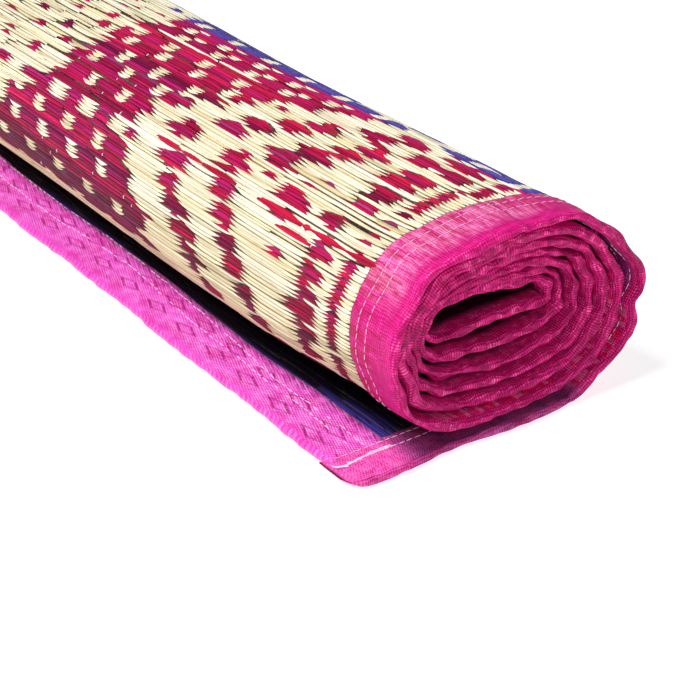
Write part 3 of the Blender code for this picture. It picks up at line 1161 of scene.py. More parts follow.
class FloatTree(SeedTree):
    """Lays strands: a narrow grid on each seed, tapered and crowned.

    A seed carries half its length, half its width and its crown as size; as hooks, how far its two
    ends lean across and the length of its taper; as tips, the share of its width that is left at
    its two ends, and its bow across; and its tint.
    """

    label = "lay_strands"
    input_name = "Roundness"
    LENGTHWISE = 8
    CROSSWISE = 4
    ROUNDNESS = 0.95

    def _shapes(self, graph: Graph, given: Node) -> Any:
        """Lay a grid on each seed and bend it to the strand's shape.

        Args:
            graph: Graph of the tree.
            given: Node with the tree's inputs.

        Returns:
            The strands.
        """
        grid = graph.node("GeometryNodeMeshGrid", {
            "Size X": 2.0, "Size Y": 2.0, "Vertices X": self.LENGTHWISE, "Vertices Y": self.CROSSWISE})
        here = graph.node("GeometryNodeInputPosition")
        local = {"Geometry": grid.outputs["Mesh"], "Name": "local", "Value": here}
        kept = graph.node(
            "GeometryNodeStoreNamedAttribute", local, data_type="FLOAT_VECTOR", domain="POINT")
        place = self._place(graph, Channel(graph, given.outputs["Roundness"]))
        return graph.node("GeometryNodeSetPosition", {
            "Geometry": self.laid(graph, given, kept), "Position": place})

    def _place(self, graph: Graph, roundness: Channel) -> Any:
        """Place of each point of a strand.

        Args:
            graph: Graph of the tree.
            roundness: How far the strand's sides fall below its crown.

        Returns:
            The place.
        """
        run, across, _ = graph.split(self.named(graph, "local"))
        along, walked, lift = graph.split(self.named(graph, "centre"))
        half_long, half_wide, crown = graph.split(self.named(graph, "size"))
        hook_start, hook_end, taper = graph.split(self.named(graph, "hooks"))
        tip_start, tip_end, bow = graph.split(self.named(graph, "tips"))
        eased = run * (1.25 - run * run * 0.25)
        to_tip = ((1.0 - abs(eased)) * half_long / taper).least(1.0).most(0.0)
        after = run > 0.0
        tip = tip_start * (1.0 - after) + tip_end * after
        full = (to_tip * (0.5 * pi)).sine() ** 1.25 * (1.0 - tip) + tip
        lean = (hook_start * (1.0 - after) + hook_end * after) * (1.0 - full)
        side = across * half_wide * full + lean + bow * (1.0 - eased * eased)
        arch = (1.0 - across * across * roundness) * full
        return graph.joined(along + eased * half_long, walked + side, lift + crown * arch)


class StitchTree(SeedTree):
    """Lays stitches: a small rounded bar of thread on every seed, turned as the seed says."""

    label = "lay_stitches"
    input_name = "Segments"
    input_kind = "NodeSocketInt"
    RINGS = 5
    SEWN_SIDES = 7
    WOVEN_SIDES = 6

    def _shapes(self, graph: Graph, given: Node) -> Any:
        """Lay a stretched ball on each seed.

        Args:
            graph: Graph of the tree.
            given: Node with the tree's inputs.

        Returns:
            The stitches.
        """
        ball = graph.node("GeometryNodeMeshUVSphere", {
            "Segments": given.outputs["Segments"], "Rings": self.RINGS, "Radius": 1.0})
        tipped = graph.node("GeometryNodeTransform", {
            "Geometry": ball.outputs["Mesh"], "Rotation": (0.0, 0.5 * pi, 0.0)})
        spin = graph.joined(0.0, 0.0, self.named(graph, "turned", "FLOAT"))
        return self.laid(graph, given, tipped, Rotation=spin, Scale=self.named(graph, "size"))


def roll_up(piece: Piece, roll: RollShape, outer_face: bool = True) -> None:
    """Carry a flat piece into the roll.

    Args:
        piece: Piece whose places are still flat.
        roll: Shape of the roll.
        outer_face: Whether it lies on the face that looks out of the roll.
    """
    places = np.zeros(len(piece.data.vertices) * 3)
    piece.data.vertices.foreach_get("co", places)
    places = places.reshape(-1, 3)
    side = 1.0 if outer_face else -1.0
    wound = roll.place(places[:, 0], places[:, 1], side * places[:, 2])
    piece.data.vertices.foreach_set("co", wound.ravel())
    if outer_face:
        piece.data.flip_normals()
    piece.data.shade_smooth()
    piece.data.update()


def map_cells(piece: Piece, columns: int) -> None:
    """Give each strand a cell of its own in the bake map.

    Args:
        piece: Piece made of strands.
        columns: Cells across the map.
    """
    data = piece.data
    count = len(data.vertices)
    local, number = np.zeros(count * 3), np.zeros(count)
    data.attributes["local"].data.foreach_get("vector", local)
    data.attributes["number"].data.foreach_get("value", number)
    run, across, _ = local.reshape(-1, 3).T
    rows = int(np.ceil((number.max() + 1) / columns))
    u = (number % columns + 0.5 + 0.46 * run) / columns
    v = (number // columns + 0.5 + 0.40 * across) / rows
    corner = np.zeros(len(data.loops), int)
    data.loops.foreach_get("vertex_index", corner)
    bake = data.uv_layers.new(name=BAKE_MAP)
    bake.data.foreach_set("uv", np.stack([u[corner], v[corner]], 1).ravel())


@dataclass(frozen=True)
class WideStrand:
    """A strand much wider or thinner than its neighbours, and where it shows.

    Its spans, if it has any, are the start, the end and the width of each of its floats, which lie
    over two rows of plain grass.
    """

    round_place: float
    width: float
    dye: Dye
    first: float
    last: float
    spans: tuple[Triple, ...] = ()


@dataclass(frozen=True)
class ZigzagLine:
    """A line of the zigzag: its distance from the side edge at the apex, and how fast that shrinks."""

    at_apex: float
    above: float
    below: float

    def at(self, above: float, below: float) -> float:
        """Distance from the side edge, so far above or below the apex."""
        return self.at_apex - self.above * above - self.below * below


@dataclass
class WeaveChart:
    """Which strands lie on top at each warp, as a traditional zigzag with spotted fields.

    Places across the rows are distances from the nearer side edge, and the pattern is the same from
    both edges. Places along the mat count from the line on top of the roll, round_place.
    """

    mat_width: float = 900.0
    warp_start: float = 4.5
    warp_pitch: float = 7.95
    apex: float = -54.0
    half_repeat: float = 86.0
    chains: tuple[ZigzagLine, ...] = (ZigzagLine(151.0, 1.06, 0.82), ZigzagLine(198.0, 1.25, 0.84))
    field_edge: ZigzagLine = ZigzagLine(232.0, 1.25, 0.68)
    field_end_step: float = 7.0
    border: float = 68.0
    border_line: float = 44.3
    faded_border: Pair = (-58.0, -22.0)
    dye_line: float = 24.5
    dot_step: float = 31.8
    dot_half: float = 4.0
    dot_reach: float = 4.2
    dyed_dot_reach: float = 2.8
    # rows of spots past the charted ones
    dot_rise: float = 11.6
    dot_offsets: Triple = (10.0, 26.0, 20.0)
    block_gap: float = 0.8
    block_height: float = 8.8
    block_step: float = 9.7
    # where the middle field starts, by the place across the rows
    middle_places: Numbers = (-112.0, -95.0, -87.0, -74.0, -62.0, -53.0, 0.0, 31.0, 60.0)
    middle_starts: Numbers = (388.0, 368.0, 354.0, 337.0, 323.0, 315.0, 317.0, 326.0, 335.0)
    field_low: float = -113.5
    skew_start: float = -8.0
    skew: float = 0.38
    most_skew: float = 12.0
    blocks: tuple[Pair, ...] = (
        (-108.5, -98.0), (-97.0, -88.3), (-88.0, -80.0), (-79.3, -70.5), (-69.5, -61.0), (-55.2, -46.0),
        (-39.5, -31.5), (-30.0, -20.5), (-18.5, -10.0), (-9.0, -1.5), (4.0, 11.5), (13.5, 22.5),
    )
    dots: tuple[tuple[float, float, int], ...] = (
        (-103.0, 6.5, 1), (-88.5, 20.5, 1), (-77.0, 31.0, 1), (-64.5, 14.0, 2), (-51.0, 27.0, 1),
        (-38.5, 11.0, 1), (-29.5, 25.0, 1), (-15.5, 9.5, 1), (-5.5, 20.0, 1), (8.5, 31.0, 1),
        (18.0, 11.3, 1), (30.0, 22.0, 1),
    )
    bits: tuple[tuple[float, float, float, int], ...] = (
        (-51.0, 4.6, 103.0, 3), (-36.5, 1.2, 94.0, 1), (-41.0, 1.1, 102.0, 1), (-76.0, 1.2, 90.0, 1),
        (-47.0, 1.2, 127.0, 1), (-62.5, 1.1, 103.0, 1), (16.0, 1.6, 96.0, 1), (-39.0, 1.1, 118.0, 1),
    )

    def dye_at(self, round_place: float) -> Dye:
        """Dye of a strand."""
        return Dye.CRIMSON if round_place < self.dye_line else Dye.INDIGO

    def block_at(self, round_place: float) -> Pair:
        """Block of rows nearest to a place.

        Args:
            round_place: The place.

        Returns:
            The block's lower and upper end.
        """
        if self.blocks[0][0] <= round_place <= self.blocks[-1][1]:
            away = [max(low - round_place, round_place - high) for low, high in self.blocks]
            return self.blocks[int(np.argmin(away))]
        above = round_place > 0.0
        base = self.blocks[-1][1] + self.block_gap if above else self.blocks[0][0] - self.block_gap
        low = base + self.block_step * np.floor((round_place - base) / self.block_step)
        return low, low + self.block_height

    def _run(self, edge: Array, centre: float, count: int) -> Array:
        """True for a number of neighbouring warps around a place."""
        half = 0.5 * ((count + 1) % 2)
        snapped = round((centre - self.warp_start) / self.warp_pitch - half) + half
        return abs(edge - self.warp_start - snapped * self.warp_pitch) < (0.5 * count) * self.warp_pitch

    def dyed(self, along: Array, round_place: float, draw: np.random.Generator) -> Array:
        """Where the dyed strand of one row shows.

        Args:
            along: Distances of the warps from the near edge.
            round_place: Place of the row.
            draw: Source of the small irregularities.

        Returns:
            True for each warp that the dyed strand passes over.
        """
        skewed = min(self.skew * max(0.0, round_place - self.skew_start), self.most_skew)
        skewed = skewed * (along < 0.5 * self.mat_width)
        moved = along + skewed
        edge = np.minimum(along, self.mat_width - along) + skewed
        low, high = self.block_at(round_place)
        share = (round_place - low) / (high - low)
        rise = (0.5 * (low + high) - self.apex + self.half_repeat) % (2.0 * self.half_repeat)
        rise = rise - self.half_repeat
        above, below = max(rise, 0.0), max(-rise, 0.0)
        own = np.random.default_rng([7, int(low * 10.0) + 9000])
        shift = own.normal(0.0, 0.8, 4)
        broad = own.random(4)
        ends = share < 0.20 or share > 0.80
        inside = 0.0 <= share <= 1.0
        shown = np.zeros(len(along), bool)
        for part, chain in enumerate(self.chains):
            widest = broad[part] < 0.3 or (above > 0.0 and 0.25 < share < 0.75)
            count = 1 if ends and draw.random() < 0.6 else 2 + int(widest and not ends)
            if inside or (above > 0.0 and draw.random() < 0.7):
                centre = chain.at(above, below) + shift[part] + draw.normal(0.0, 0.8)
                shown |= self._run(edge, centre, count)
        if inside or draw.random() < 0.3:
            count = 2 + int(broad[2] < 0.35 or round_place > -25.0) - int(ends)
            shown |= self._run(edge, self.border + 0.5 * shift[2], count)
        faded = self.faded_border[0] < round_place < self.faded_border[1]
        if draw.random() < (0.45 if faded else 0.86):
            shown |= self._run(edge, self.border_line, 1)
        for place, half, centre, count in self.bits:
            away = abs(round_place - place)
            if away < half:
                shown |= self._run(edge, centre, max(1, count - int(away > 0.6 * half)))
        start = self.field_edge.at(above, below) + shift[3] + draw.normal(0.0, 1.2)
        start += self.field_end_step * (ends or not inside)
        middle = float(np.interp(round_place, self.middle_places, self.middle_starts))
        middle += draw.normal(0.0, 2.0)
        open_low = round_place > self.field_low + draw.normal(0.0, 1.5)
        dyed_field = (edge > start) & (edge < middle) & open_low
        plain_dots = self._dots(moved, round_place, self.dot_reach)
        dyed_dots = self._dots(moved, round_place, self.dyed_dot_reach) & (draw.random(len(along)) < 0.8)
        return shown | (dyed_field & ~plain_dots) | ((edge >= middle) & dyed_dots)

    def _dots(self, along: Array, round_place: float, reach: float) -> Array:
        """Where a spot of the lattice lies in one row.

        Args:
            along: Distances of the warps from the near edge.
            round_place: Place of the row.
            reach: Half the height of a spot.

        Returns:
            True for each warp in a spot.
        """
        nearest, offset, count = min(self.dots, key=lambda row: abs(row[0] - round_place))
        if abs(nearest - round_place) > 10.0:
            step = int(np.floor(round_place / self.dot_rise))
            nearest, offset, count = self.dot_rise * (step + 0.5), self.dot_offsets[step % 3], 1
        if abs(nearest - round_place) > reach:
            return np.zeros(len(along), bool)
        cell = (along - offset + 0.5 * self.dot_step) % self.dot_step - 0.5 * self.dot_step
        return abs(cell) < self.dot_half * count


@dataclass(frozen=True)
class Stretch:
    """One stretch of the mat on which strands are laid, between two places of its rows.

    Cover gives the distance from the side edges at which the strands come out from under the tapes,
    at a distance walked. A stretch with a store keeps its strands in it, all dyed, and light gives
    the share of the dye's colour that is left at a distance walked and along.
    """

    first: float
    last: float
    cover: Callable[[float], float]
    store: Seeds | None = None
    # share of the dye's colour that painted light and shade leave
    light: Callable[[float, float], float] | None = None


@dataclass(frozen=True)
class Row:
    """One row of the weave: its place, its width, where it shows, and its halves side by side."""

    place: float
    walked: float
    width: float
    start: float
    end: float
    stretch: Stretch
    sides: Numbers = (0.0,)


@dataclass
class StrandField:
    """All the strands that show, with the cotton ties where the warps pinch them."""

    roll: RollShape
    chart: WeaveChart = field(default_factory=WeaveChart)
    warp_count: int = 113
    row_pitch: float = 1.95
    ground: float = 0.80
    crown: float = 0.72
    seed: int = 4
    tucked: float = 3.0
    cross_reach: float = 3.4
    shortest: float = 5.0
    # turns on top of the roll, and where the strands that show begin and end
    top_turn: float = 6.0
    shown_turns: Pair = (5.42, 6.46)
    loose_turn: float = 6.5
    loose_start: float = 34.0
    under_band: float = 2.0
    # places where painted shade starts on the lower side, and where darker and brighter reds lie; the
    # darker reds are partly dye and partly painted shade
    lower_shade_from: float = -90.0
    dark_below: float = -83.0
    bright: Pair = (-82.0, -45.0)
    wide_tint: Colour = (0.52, 0.006, 0.045)
    # share of red, green and blue that painted shade takes from each dye on the lower side
    lower_shade: tuple[tuple[Dye, Colour], ...] = (
        (Dye.NATURAL, (0.16, 0.22, 0.34)),
        (Dye.CRIMSON, (0.52, 0.60, 0.62)),
    )
    special: tuple[WideStrand, ...] = (
        WideStrand(-59.0, 4.0, Dye.CRIMSON, 0.0, 214.0, (
            (24.0, 52.0, 3.9), (52.0, 77.0, 4.2), (77.0, 83.5, 3.6), (83.5, 119.0, 4.3),
            (136.0, 165.0, 2.9), (165.0, 184.0, 1.9), (184.0, 207.0, 2.6))),
        WideStrand(-64.3, 3.2, Dye.CRIMSON, 70.0, 100.0, ((72.0, 99.0, 3.0),)),
        WideStrand(1.0, 1.7, Dye.CRIMSON, 190.0, 330.0),
        WideStrand(2.9, 1.9, Dye.NATURAL, 205.0, 300.0),
        WideStrand(-97.4, 1.8, Dye.CRIMSON, 190.0, 520.0),
        WideStrand(57.0, 3.4, Dye.INDIGO, 0.0, 900.0),
    )

    def __post_init__(self) -> None:
        """Make room for the seeds and draw the slow wander of the rows."""
        self.draw = np.random.default_rng(self.seed)
        self.seeds = {dye: Seeds() for dye in Dye}
        self.loose = Seeds()
        self.ties: list[Triple] = []
        self.row_wander = Wander(21, 150.0)
        self.zero = self.roll.walked_at(self.top_turn)
        self.warps = self.chart.warp_start + self.chart.warp_pitch * np.arange(self.warp_count)

    def _rows(self, first: float, last: float) -> list[tuple[float, float, WideStrand | None]]:
        """Rows between two places.

        Args:
            first: Place where they start.
            last: Place where they end.

        Returns:
            The middle and the width of each row, and its wide strand if it is one.
        """
        rows = []
        used: list[WideStrand] = []
        place = first
        while place < last:
            width = float(np.clip(self.draw.normal(self.row_pitch, 0.32), 1.35, 2.9))
            special = None
            for wide in self.special:
                if abs(place + 0.5 * wide.width - wide.round_place) < 1.3 and wide not in used:
                    special, width = wide, wide.width
                    used.append(wide)
                    break
            rows.append((place + 0.5 * width, width, special))
            place += width
        return rows

    def _tint(self, dye: Dye, place: float) -> Array:
        """Draw the colour of one strand.

        Args:
            dye: Its dye.
            place: Place of its row.

        Returns:
            The colour.
        """
        shades = SHADES[dye]
        weights = np.array([shade.weight for shade in shades])
        block = np.random.default_rng([3, int(self.chart.block_at(place)[0] * 10.0) + 9000])
        source = self.draw if dye is Dye.NATURAL or self.draw.random() < 0.60 else block
        drawn = np.array(shades[source.choice(len(shades), p=weights / weights.sum())].colour)
        # painted shade on the lower side of the roll, and below dark_below darker reds that are partly
        # dye and partly painted shade
        shade_share = float(smooth_step((self.lower_shade_from - place) / 15.0))
        drawn = drawn * (1.0 - shade_share * np.array(dict(self.lower_shade).get(dye, (0.0, 0.0, 0.0))))
        if dye is Dye.CRIMSON and self.draw.random() < 0.8:
            if place < self.dark_below:
                drawn = 0.35 * drawn + 0.65 * np.array(shades[3].colour)
            elif self.bright[0] < place < self.bright[1]:
                drawn = 0.65 * drawn + 0.35 * np.array(shades[2].colour)
        return drawn

    def _varied(self, tint: Array, along: float) -> Array:
        """Colour of one float of a strand, a little off the strand's own and pinker towards the middle.

        Args:
            tint: Colour of the strand.
            along: Distance of the float from the near edge.

        Returns:
            The colour.
        """
        edge = min(along, self.chart.mat_width - along)
        pinker = 0.7 * float(smooth_step((edge - 130.0) / 110.0))
        tint = tint * (1.0 + pinker * np.array((-0.02, 0.35, 0.42)))
        light = self.draw.normal(1.0, 0.16 if along > 0.0 else 0.11)
        return np.clip(tint * light * self.draw.normal(1.0, 0.02, 3), 0.002, 0.97)

    def _spans(self, shown: Array, longest: int) -> list[tuple[int, int]]:
        """Runs of warps over which a strand shows, long ones broken where a warp ties them down.

        Args:
            shown: True at each warp the strand passes over.
            longest: Most warps in one span.

        Returns:
            The first and last warp that holds each span down.
        """
        spans = []
        start = None
        for warp in range(len(shown) + 1):
            over = warp < len(shown) and shown[warp]
            if over and start is None:
                start = warp
            if not over and start is not None:
                first, last = start - 1, warp
                while last - first > longest + 1:
                    middle = first + int(self.draw.integers(2, longest + 1))
                    spans.append((first, middle))
                    first = middle
                spans.append((first, last))
                start = None
        return spans

    def _lay_strand(self, row: Row, dye: Dye, shown: Array, longest: int) -> None:
        """Lay one strand of a row.

        Args:
            row: The row.
            dye: The strand's dye.
            shown: True at each warp the strand passes over.
            longest: Most warps in one span.
        """
        for side in row.sides:
            tint = self._tint(dye, row.place)
            for first, last in self._spans(shown, longest):
                tied = (first >= 0 and shown[max(first, 0)],
                        last < self.warp_count and shown[min(last, self.warp_count - 1)])
                self._lay_float(row, dye, tint, row.walked + side, (first, last), tied)

    def _lay_float(self, row: Row, dye: Dye, tint: Array, walked: float, warps: tuple[int, int],
                   tied: tuple[bool, bool]) -> None:
        """Lay one float of a strand.

        Args:
            row: The row.
            dye: The strand's dye.
            tint: The strand's colour.
            walked: Distance walked to the strand.
            warps: First and last warp that holds the float down.
            tied: Whether the strand goes on past each of them, tied down by it.
        """
        chart = self.chart
        width = row.width / len(row.sides)
        ends = []
        for warp, held, side in zip(warps, tied, (1.0, -1.0)):
            short = 0.5 * chart.warp_pitch - (self.cross_reach + self.draw.uniform(-1.8, 1.4))
            ends.append(chart.warp_start + chart.warp_pitch * warp + (0.0 if held else side * short))
        start, end = max(ends[0], row.start), min(ends[1], row.end)
        if end - start < self.shortest:
            return
        middle, half = 0.5 * (start + end), 0.5 * (end - start)
        wander = 0.9 * float(self.row_wander.at(middle, walked)) + self.draw.normal(0.0, 0.10)
        taper = min(self.draw.uniform(8.0, 12.0), half * 0.98)
        lean = 1.0 if dye is Dye.NATURAL else -1.0
        hook = lean * width * self.draw.uniform(0.36, 0.50)
        hooks = tuple(0.15 * hook if held else hook for held in tied)
        tips = tuple(self.draw.uniform(0.5, 0.72) if held else 0.05 for held in tied)
        bow = self.draw.normal(0.0, 0.10)
        crown = self.crown * min(1.15, 0.7 + half / 30.0)
        size = (half, 0.5 * width * self.draw.uniform(1.02, 1.15), crown)
        light = row.stretch.light(walked, middle) if row.stretch.light else 1.0
        colour = self._varied(tint, middle if dye is Dye.CRIMSON else 0.0) * light
        seeds = row.stretch.store or self.seeds[dye]
        seeds.add(centre=(middle, walked + wander, self.ground), size=size, hooks=(*hooks, taper),
                  tips=(*tips, bow), tint=(*colour, 1.0))
        if tied[1] and self.draw.random() < (0.20 if dye is Dye.NATURAL else 0.24):
            self.ties.append((end, walked + wander, width))

    def _lay_charted(self, walked: float, spans: tuple[Triple, ...]) -> None:
        """Lay the floats of a wide strand, each as long and as wide as charted.

        Args:
            walked: Distance walked to the strand.
            spans: Start, end and width of each float.
        """
        for start, end, width in spans:
            half = 0.5 * (end - start)
            rise, fullness = (0.50, 1.0) if width < 3.2 else (0.30, 1.6)
            tint = self._varied(np.array(self.wide_tint), 0.0)
            self.seeds[Dye.CRIMSON].add(
                centre=(start + half, walked, self.ground + rise), hooks=(0.0, 0.0, min(13.0, half)),
                size=(half, 0.5 * width, self.crown * fullness), tips=(0.42, 0.42, 0.15),
                tint=(*tint, 1.0))
            self.ties.append((start, walked, 0.75 * width))

    def _lay_stretch(self, stretch: Stretch) -> None:
        """Lay the rows of one stretch of the mat.

        Args:
            stretch: The stretch.
        """
        for place, width, special in self._rows(stretch.first, stretch.last):
            dye = self.chart.dye_at(place)
            if stretch.store is not None:
                dyed = np.ones(self.warp_count, bool)
            else:
                dyed = self.chart.dyed(self.warps, place, self.draw)
            if special is not None:
                under = (self.warps > special.first) & (self.warps < special.last)
                dyed = np.where(under, special.dye is not Dye.NATURAL, dyed)
            walked = self.zero + place
            cover = stretch.cover(walked)
            row = Row(place, walked, width, cover, self.roll.width - cover, stretch)
            longest = int(self.draw.integers(7, 14))
            plain = ~dyed
            if special is not None and special.spans:
                plain, dyed = plain | under, dyed & ~under
                row = replace(row, sides=(-0.25 * width, 0.25 * width))
                self._lay_charted(walked, special.spans)
            self._lay_strand(row, Dye.NATURAL, plain, longest)
            longest = int(self.draw.integers(5, 10))
            if stretch.store is not None:
                longest = int(self.draw.integers(6, 12))
            self._lay_strand(row, dye, dyed, longest)

    def _loose_painted_light(self, walked: float, along: float) -> float:
        """Share of the dye's colour left on the loose end, stained darker where the roll rests.

        Args:
            walked: Distance walked.
            along: Distance from the near edge.

        Returns:
            The share.
        """
        sizes = self.roll.sizes
        inwards = min(along, sizes.width - along) - 20.0
        reach = 4.0 + 12.0 * float(smooth_step(1.0 - inwards / 120.0))
        to_end = self.roll.length - sizes.band_width + self.under_band - walked
        return 0.012 + 1.25 * float(smooth_step(1.0 - to_end / reach))

    def build(self, tape: "SideTape") -> list[Piece]:
        """Lay every strand that shows.

        Args:
            tape: The near side tape, whose inner edge covers the strands' ends.

        Returns:
            The finished pieces.
        """
        roll = self.roll
        first, last = (roll.walked_at(turns) - self.zero for turns in self.shown_turns)
        self._lay_stretch(Stretch(first, last, lambda walked: tape.width_at(walked) - self.tucked))
        first = roll.walked_at(self.loose_turn) - self.loose_start - self.zero
        last = roll.length - roll.sizes.band_width + self.under_band - self.zero
        self._lay_stretch(Stretch(
            first, last, lambda _: tape.loose_width - self.tucked, self.loose, self._loose_painted_light))
        tree = FloatTree()
        pieces = []
        for label, seeds in [*((dye.value, seeds) for dye, seeds in self.seeds.items()),
                             ("loose_end", self.loose)]:
            piece = tree.grow(f"{label}_strands", seeds, STRAND_FINISHES[label], tree.ROUNDNESS)
            map_cells(piece, 16)
            roll_up(piece, roll, outer_face=seeds is not self.loose)
            pieces.append(dress(piece, "grass"))
        return pieces


@dataclass
class EdgeCloth:
    """Base of the strips of cloth that are folded over the mat's edges."""

    roll: RollShape
    name: str
    node: str
    seed: int

    slot = "tape"

    def placed(self, mesh: FlatMesh, finish: Finish) -> Piece:
        """Make the piece from its flat mesh, in place of its plain solid.

        Args:
            mesh: The flat mesh.
            finish: Finish of the cloth.

        Returns:
            The finished piece.
        """
        piece = mesh.build(self.name, self.roll, finish)
        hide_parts(self.node)
        return dress(piece, self.slot)

    def declare(self, piece: Piece, sewn: list[Piece]) -> None:
        """State the cloth's flat size, once what is sewn to it is made."""

    def flat_size(self) -> Pair:
        """Width and length of the flat cloth; each strip has its own."""
        raise NotImplementedError


@dataclass
class SideTape(EdgeCloth):
    """Tape folded over a side edge, on every turn of the roll."""

    far_side: bool = False
    wall: float = 0.55
    lift: float = 2.05
    nose_lift: float = 2.55
    slim: float = 0.78
    nose_out: float = 1.35
    nose_start: float = 1.6
    bulge_run: float = 6.0
    loose_width: float = 23.0
    flat_width: float = 52.5
    turned_in: float = 2.4
    closing: float = 3.0
    coarse_gap: float = 1.7
    fine_gap: float = 1.1
    # width of the tape's outer side by turns: lower left, left, top, right, bottom
    width_turns: Numbers = (5.0, 5.50, 5.60, 5.68, 5.78, 5.90, 6.0, 6.06, 6.12, 6.3, 6.5)
    widths: Numbers = (28.0, 22.0, 26.5, 29.5, 31.0, 31.2, 29.2, 24.0, 18.6, 18.0, 23.0)

    def __post_init__(self) -> None:
        """Draw the unevenness of the cloth."""
        self.puff = Wander(self.seed, 18.0)
        self.frill = Wander(self.seed + 1, 11.0)
        self.sway = Wander(self.seed + 2, 60.0)

    def width_at(self, walked: Array | float) -> Array:
        """Width of the tape on the grass at distances walked."""
        width = np.interp(self.roll.turns_at(walked), self.width_turns, self.widths)
        to_end = self.roll.length - np.asarray(walked, float)
        return np.where(to_end < self.roll.sizes.loose_reach, self.loose_width, width)

    def _stations(self) -> Array:
        """Distances walked at which the tape has a ring of places, closer where it shows."""
        roll = self.roll
        change = roll.walked_at(5.0)
        inner = np.linspace(0.0, change, round(change / self.coarse_gap))
        rest = roll.length - change
        outer = np.linspace(change, roll.length, round(rest / self.fine_gap))
        closed = roll.length + self.closing * np.array([0.25, 0.5, 0.75, 1.0])
        return np.concatenate([inner[:-1], outer, closed])

    def _skin(self, stations: Array, offset: float, steps: int) -> tuple[Array, Array, Array]:
        """One side of the folded cloth.

        Args:
            stations: Distances walked.
            offset: How far this skin lies inside the outer one.
            steps: Places on each flat side.

        Returns:
            Places along, lifts, and distances from the fold, one row for each station.
        """
        width = self.width_at(stations)[:, None]
        share = np.linspace(1.0, 0.0, steps)[None, :] ** 1.25
        start = self.nose_start
        along_flat = start + share * (width - start)
        fat = 1.0 + 0.20 * self.frill.at(stations * 0.7, 90.0)[:, None]
        fat = fat * np.interp(self.roll.turns_at(stations), (4.9, 5.3), (1.0, self.slim))[:, None]
        bulge = np.exp(-((along_flat - start) / self.bulge_run) ** 2)
        lift_flat = self.lift + (self.nose_lift * fat - self.lift) * bulge
        angle = np.linspace(0.5 * pi, -0.5 * pi, 9)[None, 1:-1]
        along_nose = start - (start + self.nose_out) * np.cos(angle) * np.ones_like(width)
        lift_nose = self.nose_lift * np.sin(angle) * fat
        along = np.concatenate([along_flat, along_nose, along_flat[:, ::-1]], 1)
        lift = np.concatenate([lift_flat, lift_nose, -lift_flat[:, ::-1]], 1)
        around = np.concatenate([along_flat, np.zeros_like(along_nose), along_flat[:, ::-1]], 1)
        side = np.sign(lift)
        walked = np.broadcast_to(stations[:, None], along.shape)
        edge_close = smooth_step((width + 0.01 - along) / 1.6)
        puffed = 0.16 * self.puff.at(walked, along * 1.5 + side * 40.0)
        lift = lift + side * puffed * smooth_step(abs(lift))
        held = np.maximum(abs(lift) - offset, 0.3) * np.where(offset > 0.0, 1.0, 0.72 + 0.28 * edge_close)
        lift = side * held
        frill = 0.45 * self.frill.at(walked, side * 12.0) + 0.9 * self.sway.at(walked, 0.0)
        nose_share = smooth_step(1.0 - along / 8.0)
        inner_share = smooth_step(along / width * 2.0 - 1.0)
        along = along + offset * nose_share + frill * (0.75 * nose_share + 0.6 * inner_share)
        return along, lift, around * side

    def build(self) -> Piece:
        """Make the tape as one closed thin mesh.

        Returns:
            The finished piece.
        """
        roll = self.roll
        stations = self._stations()
        outer = self._skin(stations, 0.0, 10)
        inner = self._skin(stations, self.wall, 10)
        count = outer[0].shape[1]
        along, lift, across = (np.concatenate([front, back[:, ::-1]], 1)
                               for front, back in zip(outer, inner))
        ends = smooth_step(np.minimum(stations, roll.length - stations) / 2.0)[:, None]
        closed = smooth_step((stations - roll.length) / self.closing)[:, None]
        lift = lift * (0.62 + 0.38 * ends) * (1.0 - 0.70 * closed)
        walked = np.broadcast_to(stations[:, None], along.shape).copy()
        walked[0, :count] -= 1.2
        walked[-1, :count] += 0.6
        if self.far_side:
            along = roll.width - along
        skin = np.linspace(0.0, 1.0, count)
        mesh = FlatMesh(stations, skin, along, walked, lift, across, lanes=5)
        finish = TapeFinish(
            shown_from=roll.walked_at(5.45), loose_from=roll.walked_at(6.42), ends_at=roll.length,
            sheen_place=(roll.walked_at(5.84), roll.walked_at(6.03)), mat_width=roll.width)
        return self.placed(mesh, finish)

    def flat_size(self) -> Pair:
        """Width of the tape, and its length with both ends turned in."""
        return self.flat_width, self.roll.length + self.turned_in


